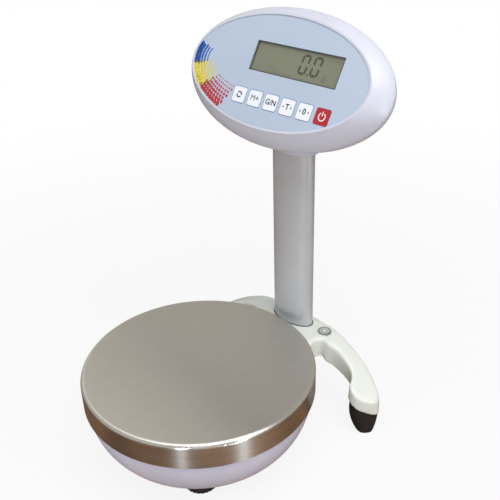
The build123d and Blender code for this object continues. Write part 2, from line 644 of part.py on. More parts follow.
def board_parts():
    """Tall parts on the back of the board: connector, converter chip and capacitors."""
    back = BOARD_BACK
    pieces = [on_face(0, -20, back - 6, back, 16, 6), on_face(-35, 12, back - 2, back, 14, 14)]
    pieces += [face_rod(35, 14, back - 9, back, 4), face_rod(46, 14, back - 9, back, 4)]
    return group(pieces)


def buzzer():
    back = BOARD_BACK
    return face_rod(-58, -14, back - 7, back, 6) - face_rod(-58, -14, back - 8, back - 5, 1.2)


def main():
    parts = {
        "weighing_pan": weighing_pan(),
        "platform_spider": spider(),
        "pan_pads": pan_pads(),
        "load_cell": load_cell(),
        "cell_upper_spacer": cell_spacer(-65, -30, CELL_TOP, SPIDER_Z),
        "cell_lower_spacer": cell_spacer(30, 65, PLATE_TOP, CELL_Z),
        "spider_screws": spider_screws(),
        "cell_base_screws": cell_base_screws(),
        "stop_studs": stop_studs(),
        "chassis_plate": chassis_plate(),
        "chassis_pillars": chassis_pillars(),
        "base_screws": base_screws(),
        "base_housing": base_housing(),
        "housing_lid": housing_lid(),
        "lid_screws": lid_screws(),
        "battery": battery(),
        "battery_door": battery_door(),
        "dc_jack": dc_jack(),
        "dc_jack_pin": jack_pin(),
        "rear_bracket": rear_bracket(),
        "bracket_screws": bracket_screws(),
        "level_cup": level_cup(),
        "level_lens": level_lens(),
        "column": column(),
        "column_screws": column_screws(),
        "signal_cable": signal_cable(),
        "front_bezel": front_bezel(),
        "rear_shell": rear_shell(),
        "head_screws": head_screws(),
        "neck_screws": neck_screws(),
        "face_panel": face_panel(),
        "lcd_frame": lcd_frame(),
        "lcd_glass": lcd_glass(),
        "key_switches": key_switches(),
        "main_board": main_board(),
        "board_screws": board_screws(),
        "board_parts": board_parts(),
        "buzzer": buzzer(),
    }
    for index, name in enumerate(KEY_NAMES):
        parts[f"key_{name}"] = key_pad(index)
    for side, name in ((-1, "left"), (1, "right")):
        wheel, pad = levelling_foot(side)
        parts[f"{name}_foot_wheel"] = wheel
        parts[f"{name}_foot_pad"] = pad
        parts[f"{name}_boot"] = boot(side)
    os.makedirs("parts", exist_ok=True)
    for name, shape in parts.items():
        export_step(shape, f"parts/{name}.step")


if __name__ == "__main__":
    main()
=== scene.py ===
"""Looks of a column weighing scale: steel pan, bowl base, cast bracket, oval column and display head."""
import logging
from dataclasses import dataclass
from enum import Enum
from math import cos, pi, radians, sin
from typing import Any, Callable, Iterable

import bmesh
import bpy
import numpy as np
from mathutils import Matrix, Vector


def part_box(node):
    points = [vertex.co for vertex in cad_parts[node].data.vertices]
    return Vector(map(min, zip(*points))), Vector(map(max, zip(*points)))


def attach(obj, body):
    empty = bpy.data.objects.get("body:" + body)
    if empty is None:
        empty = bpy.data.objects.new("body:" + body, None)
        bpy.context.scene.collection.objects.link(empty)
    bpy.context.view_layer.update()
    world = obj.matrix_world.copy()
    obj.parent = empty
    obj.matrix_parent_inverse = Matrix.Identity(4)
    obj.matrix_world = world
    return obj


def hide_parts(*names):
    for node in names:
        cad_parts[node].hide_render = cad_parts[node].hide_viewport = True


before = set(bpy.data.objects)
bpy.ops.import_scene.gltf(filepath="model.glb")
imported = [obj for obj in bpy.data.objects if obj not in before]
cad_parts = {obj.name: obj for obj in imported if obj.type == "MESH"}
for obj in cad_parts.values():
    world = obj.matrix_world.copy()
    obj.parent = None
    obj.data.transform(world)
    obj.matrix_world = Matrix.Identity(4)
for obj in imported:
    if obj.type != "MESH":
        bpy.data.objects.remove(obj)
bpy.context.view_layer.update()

LOG = logging.getLogger("column_scale")
MM = 0.001
INK = 0.05 * MM             # thickness of printed shapes
WELD = 1e-7                 # points this close, in metres, are one
CAD_WELD = 1e-6             # the same for a copy of a CAD node
Outline = list[tuple[float, float]]
Paint = dict[str, bpy.types.Material]


# ---- small helpers ------------------------------------------------------------------------
def linear(hex_code: str) -> tuple[float, float, float, float]:
    """Turn an sRGB hex colour into linear red, green, blue and full alpha.

    Args:
        hex_code: six hex digits, with or without a leading hash.

    Returns:
        The linear colour.
    """
    digits = hex_code.lstrip("#")
    channels = [int(digits[i:i + 2], 16) / 255 for i in (0, 2, 4)]
    red, green, blue = (c / 12.92 if c <= 0.04045 else ((c + 0.055) / 1.055) ** 2.4 for c in channels)
    return red, green, blue, 1.0


def add_node(tree: bpy.types.NodeTree, kind: str, values: dict[Any, Any] | None = None,
             links: dict[Any, bpy.types.NodeSocket] | None = None, **settings: Any) -> bpy.types.Node:
    """Add a node, set it up and link its inputs.

    Args:
        tree: the tree that gets the node.
        kind: the node's type name.
        values: input name or number, and its value.
        links: input name or number, and the socket that feeds it.
        **settings: the node's own options.

    Returns:
        The new node.
    """
    node = tree.nodes.new(kind)
    for name, value in settings.items():
        setattr(node, name, value)
    for key, value in (values or {}).items():
        node.inputs[key].default_value = value
    for key, socket in (links or {}).items():
        tree.links.new(socket, node.inputs[key])
    return node


def blank_material(name: str) -> bpy.types.Material:
    """Make a material whose node tree is empty.

    Args:
        name: the material's name.

    Returns:
        The material.
    """
    material = bpy.data.materials.new(name)
    material.use_nodes = True
    material.node_tree.nodes.clear()
    return material


def new_piece(name: str, mesh: bpy.types.Mesh, material: bpy.types.Material) -> bpy.types.Object:
    """Link a mesh to the scene as a piece at the origin.

    Args:
        name: the piece's name.
        mesh: its mesh, with its place already in it.
        material: its only finish.

    Returns:
        The piece.
    """
    mesh.materials.clear()
    mesh.materials.append(material)
    piece = bpy.data.objects.new(name, mesh)
    bpy.context.scene.collection.objects.link(piece)
    return piece


def mesh_from(name: str, points: Iterable[Iterable[float]], faces: Iterable[Iterable[int]],
              smooth: bool = False) -> bpy.types.Mesh:
    """Make a closed mesh whose faces point outwards.

    Args:
        name: the mesh's name.
        points: corners in metres.
        faces: corner numbers of each face.
        smooth: whether the faces are shaded smooth.

    Returns:
        The mesh.
    """
    mesh = bpy.data.meshes.new(name)
    mesh.from_pydata([tuple(p) for p in points], [], [tuple(f) for f in faces])
    shape = bmesh.new()
    shape.from_mesh(mesh)
    bmesh.ops.remove_doubles(shape, verts=shape.verts, dist=WELD)
    bmesh.ops.recalc_face_normals(shape, faces=shape.faces)
    shape.to_mesh(mesh)
    shape.free()
    mesh.polygons.foreach_set("use_smooth", [smooth] * len(mesh.polygons))
    return mesh


def joined(name: str, meshes: list[bpy.types.Mesh]) -> bpy.types.Mesh:
    """Join meshes into one and delete the sources.

    Args:
        name: the joined mesh's name.
        meshes: the sources.

    Returns:
        The joined mesh.
    """
    shape = bmesh.new()
    for mesh in meshes:
        shape.from_mesh(mesh)
        bpy.data.meshes.remove(mesh)
    whole = bpy.data.meshes.new(name)
    shape.to_mesh(whole)
    shape.free()
    return whole


def plain_mesh(holder: bpy.types.Object) -> bpy.types.Mesh:
    """Turn an object with live modifiers or text into a plain mesh.

    Args:
        holder: the object, not yet in the scene. It is removed.

    Returns:
        The mesh.
    """
    bpy.context.scene.collection.objects.link(holder)
    graph = bpy.context.evaluated_depsgraph_get()
    mesh = bpy.data.meshes.new_from_object(holder.evaluated_get(graph))
    holder.modifiers.clear()
    bpy.data.objects.remove(holder)
    return mesh


def dress(node: str, material: bpy.types.Material) -> None:
    """Give a carried-over CAD node its finish.

    Args:
        node: the CAD node.
        material: the finish.
    """
    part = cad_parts[node]
    if not part.material_slots:
        part.data.materials.append(material)
    for entry in part.material_slots:
        entry.material = material


def settle(piece: bpy.types.Object, body: str, slot: str, *replaced: str) -> None:
    """Tie a piece to its body, hide the nodes that it stands for, and report it.

    Args:
        piece: the piece.
        body: the body that carries it.
        slot: its colour slot; not used.
        *replaced: the CAD nodes that it stands for, if any.
    """
    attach(piece, body)
    if replaced:
        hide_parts(*replaced)
    LOG.info("%s: %d faces on %s", piece.name, len(piece.data.polygons), body)


def centre(node: str) -> Vector:
    """Middle of a CAD node's box."""
    low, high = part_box(node)
    return (low + high) / 2


def half_size(node: str) -> Vector:
    """Half of a CAD node's box along each axis."""
    low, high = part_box(node)
    return (high - low) / 2


# ---- finishes -----------------------------------------------------------------------------
class Grain(Enum):
    """How a surface was made, as the pattern that shows."""

    MOULDED = "even fine pebble"
    SPRAYED = "soft orange peel"
    CAST = "broad soft waviness under paint"
    TURNED = "rings about the upright axis"


@dataclass(frozen=True)
class Finish:
    """A dull or glossy finish with fine texture, slight tone drift and worn-in roughness."""

    name: str
    colour: str
    shade: str
    roughness: float
    grain: Grain = Grain.MOULDED
    grain_mm: float = 0.8
    depth_mm: float = 0.02
    metallic: float = 0.0
    ior: float = 1.5
    coat: float = 0.0
    coat_roughness: float = 0.12
    drift_mm: float = 40.0
    drift_span: tuple[float, float] = (0.3, 0.62)    # noise levels of the shade and of the colour
    wear: tuple[float, float] = (0.86, 1.16)         # share of the roughness on rubbed and on dull spots
    bump: float = 0.5
    ring_stretch: float = 12.0                       # how much finer turned rings are along the axis

    def build(self) -> bpy.types.Material:
        """Make the node material.

        Returns:
            The material.
        """
        material = blank_material(self.name)
        tree = material.node_tree
        place = add_node(tree, "ShaderNodeTexCoord").outputs["Object"]
        stretch = (1.0, 1.0, self.ring_stretch if self.grain is Grain.TURNED else 1.0)
        mapped = add_node(tree, "ShaderNodeMapping", {"Scale": stretch}, {"Vector": place}).outputs["Vector"]
        fine = add_node(tree, "ShaderNodeTexNoise", {"Scale": 1.0 / (self.grain_mm * MM), "Detail": 3.0},
                        {"Vector": mapped})
        drift = add_node(tree, "ShaderNodeTexNoise", {"Scale": 1.0 / (self.drift_mm * MM), "Detail": 4.0},
                         {"Vector": place})
        tone = add_node(tree, "ShaderNodeValToRGB", None, {"Fac": drift.outputs["Fac"]})
        for stop, level, colour in zip(tone.color_ramp.elements, self.drift_span, (self.shade, self.colour)):
            stop.position = level
            stop.color = linear(colour)
        rough = add_node(tree, "ShaderNodeMapRange", {"To Min": self.roughness * self.wear[0],
                                                      "To Max": min(1.0, self.roughness * self.wear[1])},
                         {"Value": fine.outputs["Fac"]})
        bump = add_node(tree, "ShaderNodeBump", {"Strength": self.bump, "Distance": self.depth_mm * MM},
                        {"Height": fine.outputs["Fac"]})
        shader = add_node(tree, "ShaderNodeBsdfPrincipled",
                          {"Metallic": self.metallic, "IOR": self.ior, "Coat Weight": self.coat,
                           "Coat Roughness": self.coat_roughness},
                          {"Base Color": tone.outputs["Color"], "Roughness": rough.outputs["Result"],
                           "Normal": bump.outputs["Normal"]})
        add_node(tree, "ShaderNodeOutputMaterial", None, {"Surface": shader.outputs["BSDF"]})
        return material


@dataclass(frozen=True)
class BrushedSteel:
    """Stainless sheet: straight brushing on the top, brushing round the skirt."""

    name: str
    colour: str
    skirt_colour: str
    top_z: float
    line_mm: float = 0.5      # real lines are about 0.05 mm, drawn coarser so that they show
    length_mm: float = 40.0
    depth_mm: float = 0.012
    bump: float = 0.3
    roughness: float = 0.27
    skirt_roughness: float = 0.24
    line_roughness: float = 0.12                    # how much rougher a deep line is
    smear: float = 0.94                             # how far lines smear a reflection across them
    rim_mm: tuple[float, float] = (2.5, 0.3)        # depths under the top where skirt turns to top
    line_levels: tuple[float, float] = (0.25, 0.75)
    dark_lines: tuple[float, float] = (0.84, 0.95)  # darkest line on the skirt and on the top
    light_line: float = 1.06

    def build(self) -> bpy.types.Material:
        """Make the node material.

        Returns:
            The material.
        """
        material = blank_material(self.name)
        tree = material.node_tree
        place = add_node(tree, "ShaderNodeTexCoord").outputs["Object"]
        fine, long = 1 / (self.line_mm * MM), 1 / (self.length_mm * MM)
        straight = add_node(tree, "ShaderNodeMapping", {"Scale": (fine, long, long)}, {"Vector": place})
        around = add_node(tree, "ShaderNodeMapping", {"Scale": (long, long, fine)}, {"Vector": place})
        lines = [add_node(tree, "ShaderNodeTexNoise", {"Scale": 1.0, "Detail": 2.0},
                          {"Vector": mapping.outputs["Vector"]}).outputs["Fac"]
                 for mapping in (straight, around)]
        height = add_node(tree, "ShaderNodeSeparateXYZ", None, {"Vector": place}).outputs["Z"]
        on_top = add_node(tree, "ShaderNodeMapRange",
                          {"From Min": self.top_z - self.rim_mm[0] * MM,
                           "From Max": self.top_z - self.rim_mm[1] * MM},
                          {"Value": height}).outputs["Result"]
        # A Mix node takes numbers at inputs 2 and 3, vectors at 4 and 5, and colours at 6 and 7.
        grain = add_node(tree, "ShaderNodeMix", None, {0: on_top, 2: lines[1], 3: lines[0]}).outputs[0]
        level = add_node(tree, "ShaderNodeMapRange",
                         {"To Min": self.skirt_roughness, "To Max": self.roughness}, {"Value": on_top})
        rough = add_node(tree, "ShaderNodeMath", {1: self.line_roughness},
                         {0: grain, 2: level.outputs["Result"]}, operation="MULTIPLY_ADD")
        bump = add_node(tree, "ShaderNodeBump", {"Strength": self.bump, "Distance": self.depth_mm * MM},
                        {"Height": grain})
        tangent = add_node(tree, "ShaderNodeMix", {4: (0, 0, 1), 5: (1, 0, 0)}, {0: on_top},
                           data_type="VECTOR").outputs[1]
        plain = add_node(tree, "ShaderNodeMix", {6: linear(self.skirt_colour), 7: linear(self.colour)},
                         {0: on_top}, data_type="RGBA").outputs[2]
        dark = add_node(tree, "ShaderNodeMapRange",
                        {"To Min": self.dark_lines[0], "To Max": self.dark_lines[1]}, {"Value": on_top})
        streak = add_node(tree, "ShaderNodeMapRange",
                          {"From Min": self.line_levels[0], "From Max": self.line_levels[1],
                           "To Max": self.light_line},
                          {"Value": grain, "To Min": dark.outputs["Result"]}).outputs["Result"]
        tint = add_node(tree, "ShaderNodeMix", {0: 1.0}, {6: plain, 7: streak}, data_type="RGBA",
                        blend_type="MULTIPLY").outputs[2]
        shader = add_node(tree, "ShaderNodeBsdfPrincipled", {"Metallic": 1.0, "Anisotropic": self.smear},
                          {"Base Color": tint, "Roughness": rough.outputs[0],
                           "Normal": bump.outputs["Normal"], "Tangent": tangent})
        add_node(tree, "ShaderNodeOutputMaterial", None, {"Surface": shader.outputs["BSDF"]})
        return material


def finishes() -> Paint:
    """Build every finish once.

    Returns:
        Finish name and material.
    """
    # Each row: name, colour, shade, roughness, grain, grain size and grain depth in millimetres.
    made = [
        # Brushed stainless steel: fine lines that smear reflections across them.
        BrushedSteel("brushed_stainless", "#C9C6C0", "#C8C6C2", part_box("weighing_pan")[1].z),
        # Powder-coated cast aluminium: warm white, soft orange peel, satin shine.
        Finish("powder_coat_white", "#EDF1E8", "#E6EAE0", 0.38, Grain.CAST, 2.5, 0.03, drift_mm=60),
        # Silver paint on extruded aluminium: even satin grey with a faint metal sheen.
        Finish("silver_satin_paint", "#CDD0D4", "#C6C9CD", 0.4, Grain.SPRAYED, 0.5, 0.008, metallic=0.25),
        # Injection-moulded ABS of the head: cool lavender white, satin, with soft reflections.
        Finish("abs_lavender_white", "#D4D6E3", "#CED0DD", 0.4, Grain.SPRAYED, 1.2, 0.006, coat=0.05),
        # Injection-moulded ABS of the base: the same plastic, a little paler and glossier.
        Finish("abs_base_white", "#E3E3F5", "#DBDBED", 0.34, Grain.SPRAYED, 1.2, 0.008, coat=0.1),
        # Printed polyester overlay: pale blue-grey ink behind a fine velvet surface.
        Finish("polyester_overlay", "#B9C7D9", "#B4C2D4", 0.42, Grain.MOULDED, 0.35, 0.004, drift_mm=120),
        # Polyester key windows with white ink behind: bright and faintly blue.
        Finish("key_film_white", "#F2F6FC", "#EDF2F9", 0.4, Grain.MOULDED, 0.35, 0.004),
        # Polyester key window with red ink behind: flat signal red.
        Finish("key_film_red", "#B32A34", "#AA262F", 0.4, Grain.MOULDED, 0.35, 0.004),
        # Reflective liquid crystal cell: olive grey and smooth, under a clear front glass.
        Finish("lcd_cell_olive", "#7D806C", "#787B68", 0.3, Grain.SPRAYED, 3.0, 0.002, coat=0.4),
        # Driven segments of the cell, and idle marks that show only faintly.
        Finish("lcd_segment_grey", "#4C4E42", "#494B40", 0.4, Grain.SPRAYED, 3.0, 0.002),
        Finish("lcd_segment_faint", "#6E7060", "#6B6D5D", 0.4, Grain.SPRAYED, 3.0, 0.002),
        # Moulded nylon: near black with a soft pebble, on wheels, display tray and switches; also the painted
        # shadow ring at the column's foot.
        Finish("nylon_black_and_shadow", "#2A2A2C", "#222224", 0.5, Grain.MOULDED, 0.6, 0.02),
        # Moulded rubber: brown black, dull, pebbled.
        Finish("rubber_brown_black", "#170C08", "#110906", 0.75, Grain.MOULDED, 0.7, 0.05),
        # Zinc-plated steel, turned: bright warm grey with fine rings, on screws and studs.
        Finish("zinc_plated_steel", "#C4C4BE", "#B2B2AA", 0.32, Grain.TURNED, 0.4, 0.01, metallic=1.0),
        # Machined aluminium: bright neutral grey with tool marks.
        Finish("machined_aluminium", "#D2D2D0", "#C6C6C4", 0.36, Grain.TURNED, 0.4, 0.01, metallic=1.0),
        # Bare cast aluminium: dull grey and uneven.
        Finish("cast_aluminium", "#A8A8A6", "#9A9A98", 0.55, Grain.CAST, 1.4, 0.06, metallic=0.9),
        # Moulded polystyrene lid: plain mid grey.
        Finish("polystyrene_grey", "#B4B4B6", "#ABABAE", 0.5, Grain.MOULDED, 0.7, 0.02),
        # Moulded acrylic level: grey green ring, pale green fluid and a bright bubble in it.
        Finish("level_ring_sage", "#8B918C", "#808681", 0.4, Grain.MOULDED, 0.5, 0.01),
        Finish("level_fluid", "#C4CCC6", "#BDC5BF", 0.12, Grain.SPRAYED, 2.0, 0.001, coat=0.6),
        Finish("level_bubble", "#F4FAF4", "#EDF5ED", 0.1, Grain.SPRAYED, 2.0, 0.001, coat=0.6),
        # Polypropylene battery case: dark slate, pebbled.
        Finish("battery_grey", "#3A3E44", "#33373D", 0.5, Grain.MOULDED, 0.7, 0.02),
        # Extruded vinyl cable jacket: mid grey, dull.
        Finish("cable_jacket", "#6E6E70", "#666668", 0.5, Grain.MOULDED, 0.5, 0.01),
        # Lacquered glass fibre board: deep green, satin.
        Finish("solder_mask_green", "#1E5A36", "#194D2E", 0.35, Grain.SPRAYED, 0.8, 0.01),
    ]
    # Screen-printed inks: flat and even, a little duller than the film round them.
    # The dark print ink also paints the shadow line round the display window.
    inks = {"slate": ("#2C323C", "#272C35"), "key_blue": ("#6E93CC", "#688DC5"),
            "blue": ("#2F62B8", "#2B5BAE"), "yellow": ("#E3D24A", "#DAC93F"),
            "red": ("#B23A40", "#A8343A"), "white": ("#F4F4F2", "#EEEEEC")}
    made += [Finish(f"ink_{name}", colour, shade, 0.45, Grain.MOULDED, 0.4, 0.003)
             for name, (colour, shade) in inks.items()]
    return {finish.name: finish.build() for finish in made}


# ---- repeats made by geometry nodes ---------------------------------------------------------
class RepeatTree:
    """A geometry node tree with named inputs, used once and turned into a plain mesh."""

    def __init__(self, name: str, inputs: dict[str, tuple[str, Any]]) -> None:
        """Open a tree with these inputs.

        Args:
            name: the tree's name.
            inputs: input name, with its socket type and value.
        """
        self.tree = bpy.data.node_groups.new(name, "GeometryNodeTree")
        self.values = {key: value for key, (_, value) in inputs.items()}
        for key, (kind, _) in inputs.items():
            self.tree.interface.new_socket(key, in_out="INPUT", socket_type=kind)
        self.tree.interface.new_socket("Geometry", in_out="OUTPUT", socket_type="NodeSocketGeometry")
        self.entry = add_node(self.tree, "NodeGroupInput")

    def given(self, key: str) -> bpy.types.NodeSocket:
        """Socket of a named input."""
        return self.entry.outputs[key]

    def maths(self, operation: str, *terms: Any) -> bpy.types.NodeSocket:
        """Add a Math node.

        Args:
            operation: what it works out.
            *terms: sockets or numbers.

        Returns:
            Its result.
        """
        node = add_node(self.tree, "ShaderNodeMath", operation=operation)
        for index, term in enumerate(terms):
            if isinstance(term, bpy.types.NodeSocket):
                self.tree.links.new(term, node.inputs[index])
            else:
                node.inputs[index].default_value = term
        return node.outputs[0]

    def spread(self, points: bpy.types.NodeSocket, item: bpy.types.NodeSocket,
               turn: bpy.types.NodeSocket | None, scale: bpy.types.NodeSocket | None) -> None:
        """Put the item on the points, realise it and give it the finish.

        Args:
            points: the points' geometry.
            item: the geometry that is repeated.
            turn: rotation of each item, if it has one.
            scale: size of each item, if it differs.
        """
        links = {"Points": points, "Instance": item}
        if turn is not None:
            links["Rotation"] = turn
        if scale is not None:
            links["Scale"] = scale
        placed = add_node(self.tree, "GeometryNodeInstanceOnPoints", None, links)
        real = add_node(self.tree, "GeometryNodeRealizeInstances", None, {0: placed.outputs[0]})
        done = add_node(self.tree, "GeometryNodeSetMaterial", None,
                        {"Geometry": real.outputs[0], "Material": self.given("Finish")})
        add_node(self.tree, "NodeGroupOutput", None, {"Geometry": done.outputs[0]})

    def mesh(self, name: str) -> bpy.types.Mesh:
        """Run the tree and return the plain mesh.

        Args:
            name: the mesh's name.

        Returns:
            The finished mesh.
        """
        holder = bpy.data.objects.new(name, bpy.data.meshes.new(name + "_seed"))
        modifier = holder.modifiers.new("repeat", "NODES")
        modifier.node_group = self.tree
        for item in self.tree.interface.items_tree:
            if item.in_out == "INPUT":
                modifier[item.identifier] = self.values[item.name]
        mesh = plain_mesh(holder)
        mesh.name = name
        return mesh


def ring_of_ribs(name: str, count: int, radius: float, size: tuple[float, float, float],
                 finish: bpy.types.Material) -> bpy.types.Mesh:
    """Upright ribs round a wheel.

    Args:
        name: the mesh's name.
        count: how many ribs.
        radius: distance of the ribs' middles from the axis.
        size: one rib, radial, along the rim and upright.
        finish: the ribs' material.

    Returns:
        The mesh about the origin.
    """
    made = RepeatTree(name + "_tree", {
        "Count": ("NodeSocketInt", count), "Radius": ("NodeSocketFloat", radius),
        "Size": ("NodeSocketVector", size), "Finish": ("NodeSocketMaterial", finish)})
    circle = add_node(made.tree, "GeometryNodeMeshCircle", None,
                      {"Vertices": made.given("Count"), "Radius": made.given("Radius")})
    rib = add_node(made.tree, "GeometryNodeMeshCube", None, {"Size": made.given("Size")})
    where = add_node(made.tree, "GeometryNodeInputPosition").outputs[0]
    turn = add_node(made.tree, "FunctionNodeAlignRotationToVector", None, {"Vector": where}, axis="X",
                    pivot_axis="Z").outputs[0]
    made.spread(circle.outputs["Mesh"], rib.outputs["Mesh"], turn, None)
    return made.mesh(name)


def fading_dots(name: str, rows: int, columns: int, start: float, step: float, reach: tuple[float, float],
                row_gap: float, dot: float, seed: int, finish: bpy.types.Material) -> bpy.types.Mesh:
    """Rows of round dots that follow an oval edge and shrink inwards.

    Args:
        name: the mesh's name.
        rows: rows, from the edge inwards.
        columns: dots in a row.
        start: angle of the first dot on the oval, in radians.
        step: angle between dots, in radians.
        reach: half axes of the outer row.
        row_gap: distance between rows.
        dot: radius of the largest dot.
        seed: fixes the small differences in size.
        finish: the ink.

    Returns:
        The mesh, flat about the origin of the face.
    """
    made = RepeatTree(name + "_tree", {
        "Rows": ("NodeSocketInt", rows), "Columns": ("NodeSocketInt", columns),
        "Start": ("NodeSocketFloat", start), "Step": ("NodeSocketFloat", step),
        "Half width": ("NodeSocketFloat", reach[0]), "Half height": ("NodeSocketFloat", reach[1]),
        "Row gap": ("NodeSocketFloat", row_gap), "Stagger": ("NodeSocketFloat", 0.5),
        "Dot": ("NodeSocketFloat", dot), "Fade": ("NodeSocketFloat", 0.8),
        "Smallest": ("NodeSocketFloat", 0.85), "Largest": ("NodeSocketFloat", 1.1),
        "Seed": ("NodeSocketInt", seed), "Finish": ("NodeSocketMaterial", finish)})
    index = add_node(made.tree, "GeometryNodeInputIndex").outputs[0]
    row = made.maths("FLOOR", made.maths("DIVIDE", index, made.given("Columns")))
    column = made.maths("MODULO", index, made.given("Columns"))
    stagger = made.maths("MULTIPLY", made.maths("MODULO", row, 2.0), made.given("Stagger"))
    angle = made.maths("ADD", made.given("Start"),
                       made.maths("MULTIPLY", made.maths("ADD", column, stagger), made.given("Step")))
    inward = made.maths("MULTIPLY", row, made.given("Row gap"))
    across = made.maths("MULTIPLY", made.maths("SUBTRACT", made.given("Half width"), inward),
                        made.maths("COSINE", angle))
    upward = made.maths("MULTIPLY", made.maths("SUBTRACT", made.given("Half height"), inward),
                        made.maths("SINE", angle))
    place = add_node(made.tree, "ShaderNodeCombineXYZ", None, {"X": across, "Y": upward}).outputs[0]
    total = made.maths("MULTIPLY", made.given("Rows"), made.given("Columns"))
    points = add_node(made.tree, "GeometryNodePoints", None, {"Count": total, "Position": place})
    spent = made.maths("MULTIPLY", made.maths("DIVIDE", row, made.given("Rows")), made.given("Fade"))
    fade = made.maths("SUBTRACT", 1.0, spent)
    jitter = add_node(made.tree, "FunctionNodeRandomValue", None,
                      {2: made.given("Smallest"), 3: made.given("Largest"), "Seed": made.given("Seed")},
                      data_type="FLOAT").outputs[1]
    size = made.maths("MULTIPLY", made.maths("MULTIPLY", fade, jitter), made.given("Dot"))
    scale = add_node(made.tree, "ShaderNodeCombineXYZ", {"Z": 1.0}, {"X": size, "Y": size}).outputs[0]
    disc = add_node(made.tree, "GeometryNodeMeshCylinder", {"Vertices": 20, "Radius": 1.0, "Depth": INK})
    made.spread(points.outputs[0], disc.outputs["Mesh"], None, scale)
    return made.mesh(name)


# ---- flat shapes on the face ----------------------------------------------------------------
def rounded_rectangle(width: float, height: float, radius: float, steps: int = 6) -> Outline:
    """Outline of a rectangle with round corners about the origin.

    Args:
        width: size across.
        height: size up.
        radius: corner radius.
        steps: straight pieces in a corner.

    Returns:
        The points, anticlockwise.
    """
    points: Outline = []
    for turn, (sx, sy) in enumerate(((1, 1), (-1, 1), (-1, -1), (1, -1))):
        for step in range(steps + 1):
            angle = (turn + step / steps) * pi / 2
            points.append((sx * (width / 2 - radius) + radius * cos(angle),
                           sy * (height / 2 - radius) + radius * sin(angle)))
    return points


def slab(outline: Outline, low: float, high: float) -> bpy.types.Mesh:
    """Closed slab over a flat outline.

    Args:
        outline: its edge.
        low: bottom height.
        high: top height.

    Returns:
        The mesh.
    """
    count = len(outline)
    points = [(x, y, z) for z in (low, high) for x, y in outline]
    faces = [list(range(count)), list(range(count, 2 * count))]
    faces += [(i, (i + 1) % count, count + (i + 1) % count, count + i) for i in range(count)]
    return mesh_from("slab", points, faces)


def band(outer: Outline, inner: Outline, low: float, high: float, closed: bool = True) -> bpy.types.Mesh:
    """Closed flat band between two outlines with as many points.

    Args:
        outer: one edge.
        inner: the other edge.
        low: bottom height.
        high: top height.
        closed: whether the band runs back to its start.

    Returns:
        The mesh.
    """
    count = len(outer)
    points = [(x, y, z) for z in (low, high) for edge in (outer, inner) for x, y in edge]
    faces = []
    for i in range(count if closed else count - 1):
        j = (i + 1) % count
        faces += [(i, j, count + j, count + i), (2 * count + i, 2 * count + j, 3 * count + j, 3 * count + i),
                  (i, j, 2 * count + j, 2 * count + i), (count + i, count + j, 3 * count + j, 3 * count + i)]
    if not closed:
        faces += [(0, count, 3 * count, 2 * count), (count - 1, 2 * count - 1, 4 * count - 1, 3 * count - 1)]
    return mesh_from("band", points, faces)


def arc_band(radius: float, width: float, start: float, end: float, low: float, high: float,
             steps: int = 24) -> bpy.types.Mesh:
    """Part of a flat ring.

    Args:
        radius: middle of the stroke.
        width: the stroke's width.
        start: first angle in degrees.
        end: last angle in degrees.
        low: bottom height.
        high: top height.
        steps: straight pieces in the arc.

    Returns:
        The mesh.
    """
    angles = np.radians(np.linspace(start, end, steps + 1))
    edges = [[(r * cos(a), r * sin(a)) for a in angles] for r in (radius + width / 2, radius - width / 2)]
    return band(edges[0], edges[1], low, high, closed=False)


LETTER_SIZE = 1.38      # font size over the height of a capital


def lettering(text: str, height: float, low: float, high: float, weight: float = 0.03) -> bpy.types.Mesh:
    """Plain letters as a closed mesh, centred about the origin.

    Args:
        text: the letters.
        height: height of a capital.
        low: bottom of the mesh.
        high: top of the mesh.
        weight: how much bolder the strokes are, as a share of the height.

    Returns:
        The mesh.
    """
    curve = bpy.data.curves.new("legend", "FONT")
    curve.body = text
    curve.size = height * LETTER_SIZE
    curve.align_x = "CENTER"
    curve.align_y = "CENTER"
    curve.extrude = (high - low) / 2
    curve.offset = height * weight
    curve.resolution_u = 4
    mesh = plain_mesh(bpy.data.objects.new("legend", curve))
    mesh.transform(Matrix.Translation((0, 0, (low + high) / 2)))
    return mesh


def moved(mesh: bpy.types.Mesh, x: float, y: float) -> bpy.types.Mesh:
    """Shift a flat shape on the face."""
    mesh.transform(Matrix.Translation((x, y, 0)))
    return mesh


